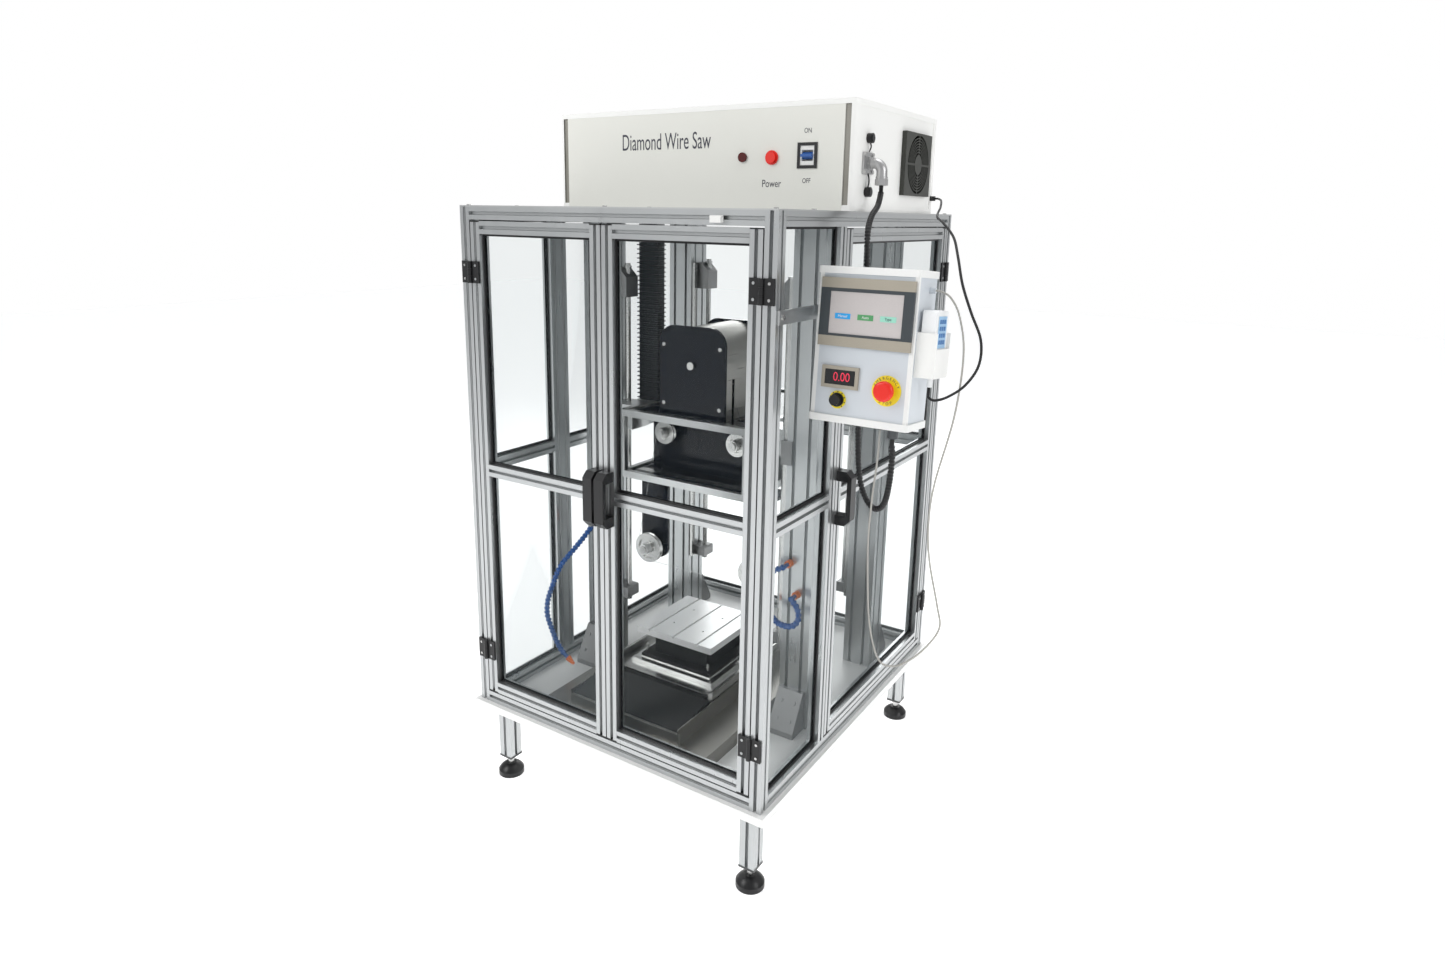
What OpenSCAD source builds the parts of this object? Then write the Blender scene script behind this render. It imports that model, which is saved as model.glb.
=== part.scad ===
// Diamond wire saw in a glazed cabinet of slotted profile, on levelling feet.
// Every module works from the cabinet's own front left corner: X to the right, Y to the back,
// Z up from the board. placed() brings that corner to the origin below the middle of the machine.

/* [Cabinet frame] */
// Width over the corner posts
cab_w = 870; // [850:10:960]
// Depth over the corner posts
cab_d = 980; // [970:10:1060]
// Height of the frame above the board
cab_h = 1290; // [1270:10:1380]
// Side of the square slotted profile
profile = 30; // [29:0.5:31]
// Clear width of the fixed bay beside the side door
side_bay = 244; // [230:2:250]
// Underside of the middle rails above the board
mid_rail_z = 632; // [600:4:680]
// Gap round each door
door_gap = 3; // [2.5:0.5:4]
// Thickness of the clear panes
pane_t = 5; // [4:0.5:6]
// Thickness of the roof plate
roof_t = 3; // [2:0.5:5]

/* [Base] */
// Thickness of the white board
board_t = 20; // [16:1:30]
// How far the board stands out past the frame
board_over = 12; // [6:1:20]
// Height of the board's underside above the ground
leg_drop = 213; // [190:1:240]
// Side of the slotted leg profile
leg_side = 40; // [38:1:45]
// Distance of the leg's centre in from the frame's outside
leg_inset = 50; // [45:1:60]
// Radius of the foot pad
pad_r = 34; // [28:1:40]
// Radius of the levelling stud
stud_r = 8; // [6:0.5:10]

/* [Electric case] */
// Width of the case on the roof
case_w = 850; // [820:10:870]
// Depth of the case
case_d = 505; // [500:5:540]
// Height of the case
case_h = 238; // [220:2:250]
// Distance of the case's front from the cabinet's front
case_front = 345; // [330:5:380]
// Width of the fan housing
fan_w = 172; // [165:1:180]
// Height of the fan housing
fan_h = 150; // [148:1:160]

/* [Control box] */
// Width of the control box
box_w = 205; // [204:1:230]
// Height of the control box between its caps
box_h = 280; // [275:1:300]
// Depth of the control box
box_d = 97; // [90:1:110]
// Backward lean of the control box in degrees
box_lean = 4.5; // [0:0.5:8]
// Distance of the box from the cabinet's side
box_off = 35; // [30:1:60]
// Height of the box's mounting bar above the board
arm_z = 1088; // [1050:2:1110]

/* [Gantry and head] */
// Side of the heavy column profile
column = 80; // [78:1:84]
// Distance of the columns from the cabinet's outside
column_in = 75; // [70:1:80]
// Front of the front columns from the cabinet's front
column_front = 355; // [350:1:365]
// Clear distance between the rear columns and the cabinet's back
column_back = 150; // [130:2:160]
// Height of the head's upper platform above the board
head_z = 757; // [750:1:780]
// Width of the head's platforms
head_w = 400; // [390:2:410]
// Height between the two platforms of the head
head_drop = 149; // [140:1:160]
// Radius of the wire drum
drum_r = 70; // [60:1:75]
// Height of the drum's axis above the upper platform
drum_rise = 148; // [140:1:155]
// Radius of the upper guide pulleys
upper_pulley_r = 31; // [28:1:34]
// Radius of the lower guide pulleys
lower_pulley_r = 42; // [38:1:45]
// Distance between the lower pulleys' axes
wire_span = 340; // [330:2:350]
// Diameter of the diamond wire
wire_d = 0.8; // [0.4:0.1:1.2]

/* [Work table] */
// Side of the square work table
table_side = 240; // [220:2:250]
// Thickness of the work table
table_t = 18; // [16:1:22]
// Height of the table's top above the board
table_z = 188; // [186:1:192]
// Width of the table's slots
table_slot = 6; // [5:0.5:8]
// Distance between the table's threaded holes
hole_pitch = 96; // [90:1:100]
// Radius of the table's threaded holes
hole_r = 3; // [2.5:0.25:4]
// Length of the stage's bed
bed_len = 640; // [630:5:660]
// Width of the stage's front plate
stage_w = 340; // [336:2:350]

/* [Hidden] */

$fn = 32;
over = 1;
joint_gap = 0.2;
seat_gap = 0.3;
turn_fit = 0.08;
slide_fit = 0.4;
mid_x = cab_w / 2;
floor_z = -board_t - leg_drop;

// slotted profile
slot_open = 8;
slot_lip = 2;
slot_wide = 15;
slot_floor = 6;
slot_depth = 8.5;
leg_slot_wide = 19;
leg_slot_depth = 12;
column_slot_depth = 12;
column_slot_off = 20;

// panes and their U-shaped seals
seal_t = slot_open - joint_gap;
seal_show = 5;
seal_bite = 6;
pane_bite = 4;

// fixed bays and doors
low_z = profile;
low_h = mid_rail_z - profile;
high_z = mid_rail_z + profile;
high_h = cab_h - profile - high_z;
side_post_y = profile + side_bay;
rear_bay_y = side_post_y + 2 * profile + joint_gap;
rear_bay = cab_d - profile - rear_bay_y;
back_w = cab_w - 2 * profile;
door_z = profile + door_gap;
door_h = cab_h - 2 * door_z;
front_door_w = (cab_w - 2 * profile - 3 * door_gap) / 2;
side_door_y = side_post_y + profile + door_gap;
side_door_w = cab_d - profile - door_gap - side_door_y;
door_rail_z = mid_rail_z - door_z;
door_high_z = door_rail_z + profile;
door_high_h = door_h - profile - door_high_z;
door_low_h = door_rail_z - profile;
end_cap = 2.5;

// door handles
handle_w = 26;
handle_l = 130;
handle_h = 38;
handle_bar = 11;
handle_foot = 24;
handle_bevel = 14;
handle_z = mid_rail_z + profile / 2 - handle_l / 2;

// hinges
hinge_h = 52;
hinge_t = 4;
hinge_r = 5.5;
hinge_pin_r = 2.5;
hinge_start = hinge_r + seat_gap;
hinge_end = 28;
hinge_in = 153;
hinge_axis = profile / 2 + hinge_r + joint_gap;
hinge_part = hinge_h / 3;
hinge_screw_x = 18;
hinge_screw_z = 16;
hinge_screw_r = 3;
hinge_screw_h = 1.2;
hinge_heights = [hinge_in, cab_h - hinge_in];

// screws
head_r = 5;
head_h = 2.6;
socket_r = 1.6;
socket_deep = 1.4;
roof_screw_in = profile / 2;

// legs and feet
leg_cap = 6;
leg_cap_over = 0.8;
stud_show = 23;
stud_in = 26;
pad_h = 30;
pad_rim_h = 13;
pad_top_r = 14;
nut_r = 13;
nut_h = 9;
gusset = 44;
gusset_t = 30;
dome_c = (pad_top_r * pad_top_r + pad_h * pad_h - pad_r * pad_r - pad_rim_h * pad_rim_h)
    / (2 * (pad_h - pad_rim_h));
dome_r = norm([pad_top_r, pad_h - dome_c]);

// brackets on the columns
foot_w = 70;
foot_d = 62;
foot_h = 104;
foot_edge = 14;
foot_top = 12;
foot_screw_x = 18;
foot_screw_share = 0.28;
bearing_w = 46;
bearing_d = 50;
bearing_h = 77;
bearing_bevel = 24;
bearing_in = 24;
bearing_z = 1062;
low_bearing_h = 30;
low_bearing_z = 200;
low_bevel = 3;
limit_w = 30;
limit_h = 60;
limit_t = 4;
limit_z = 690;

// electric case
case_x = (cab_w - case_w) / 2;
case_z = cab_h + roof_t;
case_side = case_x + case_w;
case_wall = 5;
case_corner = 12;
case_bar = 12;
case_groove = 14;
case_groove_deep = 3;
case_column = 26;
side_deep = 2;
panel_t = 3;
panel_in = case_corner + case_groove + joint_gap;
panel_lap = 8;
fan_share = 0.706931;
fan_up_share = 0.491597;
fan_y = case_front + fan_share * case_d;
fan_z = case_z + fan_up_share * case_h;
fan_out = 10;
fan_in = 30;
fan_bore_r = 70;
fan_barrel_r = 73;
fan_disc_r = 24;
fan_blade_reach = 64;
fan_blade_t = 2;
fan_blade_w = 20;
fan_blade_turn = 38;
fan_blades = 7;
fan_pin_r = 4;
fan_hub_r = 22;
fan_hub_len = 22;
guard_wire = 2.4;
guard_step = 6.5;
guard_rings = 6;
lamp_share = 0.667059;
lamp_up_share = 0.5;
lamp_x = case_x + lamp_share * case_w;
lamp_z = case_z + lamp_up_share * case_h;
lamp_r = 11;
lamp_out = 5;
button_share = 0.758824;
button_x = case_x + button_share * case_w;
button_z = fan_z;
bezel_r = 16;
bezel_out = 4;
button_r = 12.5;
button_out = 9;
button_deep = 20;
breaker_share = 0.865294;
breaker_up_share = 0.504202;
breaker_x = case_x + breaker_share * case_w;
breaker_z = case_z + breaker_up_share * case_h;
breaker_w = 49;
breaker_h = 56;
breaker_out = 3;
breaker_nose_w = 35;
breaker_nose_h = 42;
breaker_nose_out = 1;
breaker_deep = 40;
lever_w = 28;
lever_r = 8;
lever_reach = 15;
lever_t = 6;
lever_pin_r = 2;
lever_slot_h = 24;
catch_w = 25;
catch_h = 14;
catch_t = 12;
catch_x = 722;
catch_drop = 25;
catch_z = cab_h - catch_drop;

// pipe elbow, its two loose caps and the cable gland
elbow_share = 0.142574;
elbow_up_share = 0.441176;
elbow_y = case_front + elbow_share * case_d;
elbow_z = case_z + elbow_up_share * case_h;
elbow_r = 12;
elbow_out = 35;
elbow_drop = 48;
elbow_nut_r = 15;
elbow_nut_h = 14;
flange_w = 54;
flange_h = 48;
flange_t = 4;
plug_r = 11;
plug_h = 12;
plug_up = 54;
plug_down = 62;
strap_r = 1.6;
gland_share = 0.960396;
gland_up_share = 0.163866;
gland_y = case_front + gland_share * case_d;
gland_z = case_z + gland_up_share * case_h;
gland_r = 7;
gland_out = 12.8;

// control box, in its own leaning frame
box_x = cab_w + box_off;
box_back = 206;
box_low = 203;
box_wall = 2.5;
cap_h = 14;
cap_over = 4;
cap_corner = 7;
arm_h = 28;
arm_t = 5;
arm_start = 5;
arm_end_w = 60;
hmi_w = 194;
hmi_h = 134;
hmi_x = 7;
hmi_drop = 8;
hmi_z = box_h - hmi_drop - hmi_h;
hmi_t = 6;
screen_w = 152;
screen_h = 82;
screen_x = 21;
screen_z = 25;
screen_deep = 1.2;
meter_w = 79;
meter_h = 44;
meter_x = 21;
meter_drop = 181;
meter_z = box_h - meter_drop - meter_h;
meter_t = 5;
meter_rim = 7;
meter_deep = 1.5;
dial_x = 58;
dial_drop = 248;
dial_z = box_h - dial_drop;
dial_r = 18;
dial_t = 1.5;
knob_r = 10.5;
knob_skirt_r = 14;
knob_skirt_h = 4;
knob_h = 17;
knob_mark = 1.2;
knob_stem_r = 3;
knob_stem_len = 14;
stop_x = 159;
stop_drop = 219;
stop_z = box_h - stop_drop;
stop_plate_r = 30;
stop_collar_r = 15;
stop_collar_h = 5;
stop_r = 20;
stop_cap_h = 12;
stop_neck_r = 9;
stop_travel = 5;
stop_tail = 12;
conduit_x = 156;
conduit_y = 62;
conduit_nut_r = 11;
conduit_nut_h = 26;
signal_x = 128;
signal_y = 62;
signal_drop = 23;
signal_z = box_h - signal_drop;
signal_nut_r = 6;
signal_nut_h = 12;

// handset in its holder
holder_y = 12;
holder_z = 92;
holder_w = 78;
holder_h = 86;
holder_t = 40;
holder_floor = 4;
holder_hole_r = 9;
holder_lip = 30;
handset_w = 70;
handset_t = 27;
handset_h = 124;
handset_corner = 8;
handset_z = holder_z + holder_floor + seat_gap;
handset_x = box_w + joint_gap + (holder_t - handset_t) / 2;
keypad_w = 46;
keypad_h = 62;
keypad_t = 1;
keypad_up = holder_h - holder_lip - holder_floor + joint_gap;
relief_r = 5;
relief_h = 24;

// gantry
column_rear = cab_d - column_back - column;
left_face = column_in + column;
right_face = cab_w - left_face;
wire_y = column_front + column / 2;
column_len = cab_h - joint_gap;
rail_w = 15;
rail_t = 10;
rail_in = 4;
screw_r = 8;
screw_off = 31;
screw_in = bearing_in + bearing_d / 2;
screw_tail = 12;
screw_cap_r = 11;
screw_cap_h = 5;

// head
head_x = mid_x - head_w / 2;
head_front = 305;
head_tail = 78;
head_rear = column_rear + head_tail;
shelf_back = 500;
edge_h = 18;
edge_w = 15;
sheet_t = 8;
sheet_low = 5;
deck_z = head_z + sheet_low + sheet_t + joint_gap;
low_level = head_z - head_drop - edge_h;
block_h = 67;
block_front = 3;
block_back = 74;
post_w = 16;
drum_y = 350;
drum_len = 200;
drum_z = head_z + drum_rise;
drum_plate_t = 8;
drum_plate_w = 202;
drum_plate_r = 46;
drum_screw_up = 30;
cover_r = 98;
cover_t = 2;
cover_slot_h = 118;
cover_slot_w = 12;
shaft_r = 10;
flange_rise = 7;
flange_r = drum_r + flange_rise;
flange_thick = 5;
drum_face = 10;
back_off = 26;
back_y = wire_y + back_off;
back_t = 10;
back_in = 26;
motor_r = 45;
motor_len = 130;
upper_x = 114;
upper_drop = 51;
upper_z = head_z - upper_drop;
lower_z = 365;
pulley_w = 14;
pulley_lip = 3;
pulley_groove = 4;
pulley_web = 5;
pulley_rim = 7;
hub_r = 15;
hub_back = 5;
hub_front = 20;
axle_r = 5;
axle_shoulder_r = 9;
axle_cap_r = 11;
axle_cap_h = 4;
arm_w = 90;
arm_low = 33;
arm_top = low_level - joint_gap;
arm_corner = 30;
clamp_h = 26;
clamp_d = 24;
wire_slot_w = 46;
wire_slot_d = 20;
chain_x = 190;
chain_w = 74;
chain_off = 4;
chain_y = column_front + column + chain_off;
chain_t = 35;
chain_pitch = 12;
chain_rib = 4;
chain_share = 0.5;
chain_low = head_z + edge_h + joint_gap;
chain_top = cab_h - joint_gap;

// stage
bed_t = 38;
bed_side = 185;
bed_w = cab_w - 2 * bed_side;
bed_front = 50;
slide_w = 24;
slide_h = 20;
slide_off = 110;
stage_front = 62;
front_plate_t = 8;
front_plate_h = 30;
side_t = 3;
side_h = 44;
carriage_w = 300;
carriage_len = 240;
carriage_t = 24;
carriage_z = bed_t + slide_h + seat_gap;
runner_w = 44;
runner_len = 60;
runner_h = 14;
tray_w = 330;
tray_len = 390;
tray_front = 202;
tray_h = 22;
tray_t = 3;
tray_corner = 24;
tray_rim = 3;
tray_z = carriage_z + carriage_t + joint_gap;
low_plate = 258;
low_plate_t = 10;
top_plate = 222;
top_plate_t = 12;
low_plate_z = tray_z + tray_t + joint_gap;
top_plate_z = low_plate_z + low_plate_t + joint_gap;
block_side = 168;
block_z = top_plate_z + top_plate_t + joint_gap;
jack_r = 4;
jack_in = 12;
jack_h = 24;
table_y = wire_y;
table_slots = 3;
slot_pitch_share = 0.32;
slot_deep = 6;
hole_deep = 14;
bellows_trim = 8;
bellows_w = stage_w - bellows_trim;
bellows_rear = tray_front - slide_fit;
bellows_low = 20;
bellows_rise = 20;
bellows_folds = 9;
fold_h = 8;

// hoses and their routes
bead_r = 8;
bead_neck_r = 6.2;
bead_bore_r = 3.5;
bead_pitch = 11;
nozzle_r = 8.5;
nozzle_tip_r = 4;
nozzle_len = 24;
hose_socket_r = 9.5;
conduit_r = 6.6;
conduit_neck_r = 5.6;
conduit_bore_r = 4;
conduit_pitch = 7.7;
handset_cable_r = 2.6;
handset_cable_rings = 72;
signal_cable_r = 2;
signal_cable_rings = 80;
ring_sides = 8;
curve_steps = 8;
left_hose_route = [
    [112, 340, 409], [112, 322, 409], [104, 304, 388], [82, 282, 350], [66, 250, 313], [56, 225, 262],
    [56, 203, 221], [64, 191, 186], [80, 187, 155], [102, 184, 120], [126, 182, 94], [148, 181, 82]
];
right_hose_route = [
    [735, 340, 440], [735, 323, 440], [712, 311, 429], [685, 303, 415], [664, 300, 405]
];
low_hose_route = [
    [758, 340, 362], [758, 322, 362], [780, 312, 347], [789, 304, 323], [779, 297, 306],
    [757, 296, 300], [732, 300, 302], [708, 310, 311], [690, 318, 320]
];
conduit_route = [
    [895, 417, 1350], [895, 417, 1334], [903, 385, 1306], [914, 330, 1284], [925, 289, 1255],
    [932, 274, 1205], [938, 270, 1120], [939, 266, 1000], [939, 258, 900], [947, 245, 800],
    [963, 225, 735], [988, 205, 696], [1018, 188, 682], [1044, 172, 704], [1058, 159, 760],
    [1062, 153, 812], [1061, 151, 834], [1061, 152, 848]
];
handset_cable_route = [
    [873, 830, 1332], [880, 830, 1332], [902, 795, 1326], [935, 700, 1308], [975, 570, 1292],
    [1018, 450, 1282], [1062, 360, 1272], [1110, 290, 1244], [1145, 220, 1208], [1172, 175, 1160],
    [1197, 160, 1110], [1220, 158, 1060], [1220, 158, 1012], [1198, 156, 972], [1168, 153, 947],
    [1144, 150, 937], [1131, 149, 941], [1130, 149, 951], [1130, 150, 961]
];
signal_cable_route = [
    [1122, 175, 1145], [1128, 175, 1145], [1152, 172, 1134], [1174, 168, 1098], [1188, 164, 1027],
    [1179, 165, 907], [1148, 170, 765], [1140, 175, 680], [1145, 180, 601], [1167, 185, 503],
    [1174, 190, 455], [1152, 195, 408], [1116, 195, 363], [1076, 195, 334], [1044, 190, 345],
    [1022, 185, 420], [1015, 178, 520], [1014, 170, 622], [1022, 160, 720], [1031, 154, 800],
    [1033, 152, 852], [1033, 153, 862]
];

// reach of the whole machine, for its origin
reach_left = -board_over;
reach_right = box_x + box_w + holder_t + joint_gap;
reach_front = -handle_h - joint_gap;
reach_back = cab_d + board_over;

module placed() {
    translate([-(reach_left + reach_right) / 2, -(reach_front + reach_back) / 2, -floor_z])
        children();
}

// slots cut into one face of a square profile, seen along its length
module slot_cut(side, wide, depth) {
    polygon([
        [-slot_open / 2, side / 2 + over], [slot_open / 2, side / 2 + over],
        [slot_open / 2, side / 2 - slot_lip], [wide / 2, side / 2 - slot_lip],
        [slot_floor / 2, side / 2 - depth], [-slot_floor / 2, side / 2 - depth],
        [-wide / 2, side / 2 - slot_lip], [-slot_open / 2, side / 2 - slot_lip]
    ]);
}

module profile_outline() {
    difference() {
        square(profile, center = true);
        for (turn = [0 : 3]) rotate(turn * 90) slot_cut(profile, slot_wide, slot_depth);
    }
}

module bar_up(x, y, z, length) {
    translate([x + profile / 2, y + profile / 2, z]) linear_extrude(length) profile_outline();
}

module bar_right(x, y, z, length) {
    translate([x, y + profile / 2, z + profile / 2]) rotate([90, 0, 90])
        linear_extrude(length) profile_outline();
}

module bar_back(x, y, z, length) {
    translate([x + profile / 2, y, z + profile / 2]) rotate([-90, 0, 0])
        linear_extrude(length) profile_outline();
}

// a rail that stops just short of the posts at both ends
module rail_right(x, y, z, length) {
    bar_right(x + joint_gap, y, z, length - 2 * joint_gap);
}

module rail_back(x, y, z, length) {
    bar_back(x, y + joint_gap, z, length - 2 * joint_gap);
}

// a plate with four round upright edges
module round_plate(w, d, h, r) {
    linear_extrude(h) {
        translate([r, 0]) square([w - 2 * r, d]);
        translate([0, r]) square([w, d - 2 * r]);
        for (x = [r, w - r]) for (y = [r, d - r]) translate([x, y]) circle(r);
    }
}

module along_x(x, y, z) {
    translate([x, y, z]) rotate([0, 90, 0]) children();
}

module along_back(x, y, z) {
    translate([x, y, z]) rotate([-90, 0, 0]) children();
}

// button head screw that sits on z = 0 and points up
module button_screw(r, h) {
    difference() {
        cylinder(r = r, h = h);
        translate([0, 0, h - socket_deep / 2]) cylinder(r = r * socket_r / head_r, h = h, $fn = 6);
    }
}

// pane and seal of an opening in the XZ plane with its low corner at x, z
module pane(x, z, w, h) {
    translate([x - pane_bite, -pane_t / 2, z - pane_bite])
        cube([w + 2 * pane_bite, pane_t, h + 2 * pane_bite]);
}

module seal(x, z, w, h) {
    pocket = pane_bite + joint_gap;
    difference() {
        translate([x - seal_bite, -seal_t / 2, z - seal_bite])
            cube([w + 2 * seal_bite, seal_t, h + 2 * seal_bite]);
        translate([x + seal_show, -seal_t, z + seal_show])
            cube([w - 2 * seal_show, 2 * seal_t, h - 2 * seal_show]);
        translate([x - pocket, -pane_t / 2 - joint_gap, z - pocket])
            cube([w + 2 * pocket, pane_t + 2 * joint_gap, h + 2 * pocket]);
    }
}

module glazing(x, z, w, h, sealed) {
    if (sealed) seal(x, z, w, h);
    else pane(x, z, w, h);
}

// planes of the cabinet's faces; a panel drawn in the XZ plane faces outwards in each
module front_plane() {
    translate([0, profile / 2, 0]) children();
}

module right_plane() {
    translate([cab_w - profile / 2, 0, 0]) rotate([0, 0, 90]) children();
}

module left_plane() {
    translate([profile / 2, 0, 0]) rotate([0, 0, 90]) children();
}

module back_plane() {
    translate([0, cab_d - profile / 2, 0]) children();
}

module fixed_bays(sealed) {
    for (part = [[low_z, low_h], [high_z, high_h]]) {
        right_plane() glazing(profile, part[0], side_bay, part[1], sealed);
        left_plane() glazing(profile, part[0], side_bay, part[1], sealed);
        left_plane() glazing(rear_bay_y, part[0], rear_bay, part[1], sealed);
        back_plane() glazing(profile, part[0], back_w, part[1], sealed);
    }
}

// hinge parts round a pin along Z; side is 1 where the leaf lies to the right of the pin
module leaf_body(side, knuckles) {
    mirror([side < 0 ? 1 : 0, 0, 0]) {
        translate([hinge_start, -profile / 2 - hinge_t - joint_gap, -hinge_h / 2])
            cube([hinge_end - hinge_start, hinge_t, hinge_h]);
        for (k = knuckles) translate([0, 0, k * hinge_part - hinge_h / 2 + joint_gap]) {
            translate([0, -hinge_axis, 0]) cylinder(r = hinge_r, h = hinge_part - 2 * joint_gap);
            translate([0, -profile / 2 - hinge_t - joint_gap, 0])
                cube([hinge_start + over, hinge_t, hinge_part - 2 * joint_gap]);
        }
    }
}

module moving_leaf(side) {
    difference() {
        leaf_body(side, [1]);
        translate([0, -hinge_axis, -hinge_h / 2])
            cylinder(r = hinge_pin_r + turn_fit, h = hinge_h);
    }
}

module fixed_leaf(side) {
    leaf_body(side, [0, 2]);
    translate([0, -hinge_axis, -hinge_h / 2 + joint_gap])
        cylinder(r = hinge_pin_r, h = hinge_h - 2 * joint_gap);
}

module leaf_screws(side) {
    for (z = [-hinge_screw_z, hinge_screw_z])
        translate([side * hinge_screw_x, -profile / 2 - hinge_t - 2 * joint_gap, z])
            rotate([90, 0, 0]) button_screw(hinge_screw_r, hinge_screw_h);
}

module post_hinges() {
    for (z = hinge_heights) {
        front_plane() translate([profile + door_gap / 2, 0, z]) mirror([1, 0, 0]) children();
        front_plane() translate([cab_w - profile - door_gap / 2, 0, z]) children();
        right_plane() translate([cab_d - profile - door_gap / 2, 0, z]) children();
    }
}

// doors, drawn in the XZ plane with the low corner at the origin
module left_door_place() {
    front_plane() translate([profile + door_gap, 0, door_z]) children();
}

module right_door_place() {
    front_plane() translate([cab_w - profile - door_gap - front_door_w, 0, door_z]) children();
}

module side_door_place() {
    right_plane() translate([side_door_y, 0, door_z]) children();
}

// bridge handle across the middle of a stile
module stile_handle(x) {
    translate([x - handle_w / 2, -profile / 2 - joint_gap, handle_z - door_z]) rotate([90, 0, 90])
        mirror([1, 0, 0]) linear_extrude(handle_w) polygon([
            [0, 0], [handle_h - handle_bevel, 0], [handle_h, handle_bevel],
            [handle_h, handle_l - handle_bevel], [handle_h - handle_bevel, handle_l],
            [0, handle_l], [0, handle_l - handle_foot],
            [handle_h - handle_bar, handle_l - handle_foot],
            [handle_h - handle_bar, handle_foot], [0, handle_foot]
        ]);
}

module door_frame(w, hinge_x, side) {
    color("gainsboro") {
        for (x = [0, w - profile])
            bar_up(x, -profile / 2, end_cap + joint_gap, door_h - 2 * end_cap - 2 * joint_gap);
        for (z = [0, door_rail_z, door_h - profile])
            rail_right(profile, -profile / 2, z, w - 2 * profile);
        for (z = hinge_heights) translate([hinge_x, 0, z - door_z]) leaf_screws(side);
    }
}

module door_panes(w) {
    color("aliceblue", 0.4) {
        pane(profile, profile, w - 2 * profile, door_low_h);
        pane(profile, door_high_z, w - 2 * profile, door_high_h);
    }
}

module door_trim(w, hinge_x, side, handle_x) {
    color("black") {
        seal(profile, profile, w - 2 * profile, door_low_h);
        seal(profile, door_high_z, w - 2 * profile, door_high_h);
        for (x = [0, w - profile]) for (z = [0, door_h - end_cap])
            translate([x, -profile / 2, z]) cube([profile, profile, end_cap]);
        stile_handle(handle_x);
        for (z = hinge_heights) translate([hinge_x, 0, z - door_z]) moving_leaf(side);
    }
}

// base and frame
module floor_board() {
    color("white") placed() translate([-board_over, -board_over, -board_t])
        cube([cab_w + 2 * board_over, cab_d + 2 * board_over, board_t]);
}

module frame_posts() {
    inner = cab_h - 2 * profile - 2 * joint_gap;
    color("gainsboro") placed() {
        for (x = [0, cab_w - profile]) for (y = [0, cab_d - profile]) bar_up(x, y, 0, cab_h);
        bar_up(cab_w - profile, side_post_y, profile + joint_gap, inner);
        for (y = [side_post_y, side_post_y + profile + joint_gap])
            bar_up(0, y, profile + joint_gap, inner);
    }
}

module frame_rails() {
    color("gainsboro") placed() {
        for (z = [0, cab_h - profile]) {
            for (y = [0, cab_d - profile]) rail_right(profile, y, z, back_w);
            for (x = [0, cab_w - profile]) rail_back(x, profile, z, cab_d - 2 * profile);
        }
        rail_right(profile, cab_d - profile, mid_rail_z, back_w);
        for (x = [0, cab_w - profile]) rail_back(x, profile, mid_rail_z, side_bay);
        rail_back(0, rear_bay_y, mid_rail_z, rear_bay);
    }
}

module fixed_panes() {
    color("aliceblue", 0.4) placed() fixed_bays(false);
}

module pane_seals() {
    color("black") placed() fixed_bays(true);
}

module roof_plate() {
    color("silver") placed() translate([0, 0, cab_h]) cube([cab_w, cab_d, roof_t]);
}

module at_legs() {
    for (x = [0, 1]) for (y = [0, 1])
        translate([x * cab_w, y * cab_d, floor_z]) mirror([x, 0, 0]) mirror([0, y, 0])
            translate([leg_inset, leg_inset, 0]) children();
}

module leg_wedge() {
    rotate([90, 0, 0]) linear_extrude(gusset_t, center = true)
        polygon([[0, 0], [gusset, 0], [0, -gusset]]);
}

module legs() {
    cap_z = pad_h + stud_show;
    cap_side = leg_side + 2 * leg_cap_over;
    color("gainsboro") placed() at_legs() difference() {
        union() {
            translate([0, 0, cap_z + leg_cap]) linear_extrude(leg_drop - cap_z - leg_cap)
                difference() {
                    square(leg_side, center = true);
                    for (turn = [0 : 3])
                        rotate(turn * 90) slot_cut(leg_side, leg_slot_wide, leg_slot_depth);
                }
            translate([-cap_side / 2, -cap_side / 2, cap_z]) cube([cap_side, cap_side, leg_cap]);
            translate([leg_side / 2, 0, leg_drop]) leg_wedge();
            translate([0, leg_side / 2, leg_drop]) rotate([0, 0, 90]) leg_wedge();
        }
        translate([0, 0, cap_z - over]) cylinder(r = stud_r + turn_fit, h = stud_in + 2 * over);
    }
}

module levelling_feet() {
    color("dimgray") placed() at_legs() {
        rotate_extrude() intersection() {
            translate([0, dome_c]) circle(dome_r);
            square([pad_r, pad_h]);
        }
        translate([0, 0, pad_h - over]) cylinder(r = stud_r, h = stud_show + stud_in);
        translate([0, 0, pad_h + stud_show - nut_h - joint_gap])
            cylinder(r = nut_r, h = nut_h, $fn = 6);
    }
}

// brackets on the columns
module foot_bracket() {
    slope = atan2(foot_h - foot_edge, foot_d - foot_top);
    rise = norm([foot_h - foot_edge, foot_d - foot_top]);
    rotate([90, 0, 90]) mirror([1, 0, 0]) linear_extrude(foot_w, center = true) polygon([
        [0, 0], [foot_d, 0], [foot_d, foot_edge], [foot_top, foot_h], [0, foot_h]
    ]);
    for (x = [-foot_screw_x, foot_screw_x]) for (step = [foot_screw_share, 1 - foot_screw_share])
        translate([x, -foot_d, foot_edge]) rotate([slope, 0, 0]) translate([0, step * rise, 0])
            cylinder(r = head_r, h = head_h);
}

module bearing(top_z, h, bevel) {
    difference() {
        translate([0, bearing_in + bearing_d, top_z - h]) rotate([90, 0, 0])
            linear_extrude(bearing_d) polygon([
                [joint_gap, 0], [bearing_w, 0], [bearing_w, h - bevel], [bearing_w - bevel, h],
                [joint_gap, h]
            ]);
        translate([screw_off, screw_in, top_z - h - over])
            cylinder(r = screw_r + turn_fit, h = h + 2 * over);
    }
}

module at_left_columns() {
    for (y = [column_front, column_rear]) translate([left_face, y, 0]) children();
}

module on_right() {
    translate([cab_w, 0, 0]) mirror([1, 0, 0]) children();
}

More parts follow.
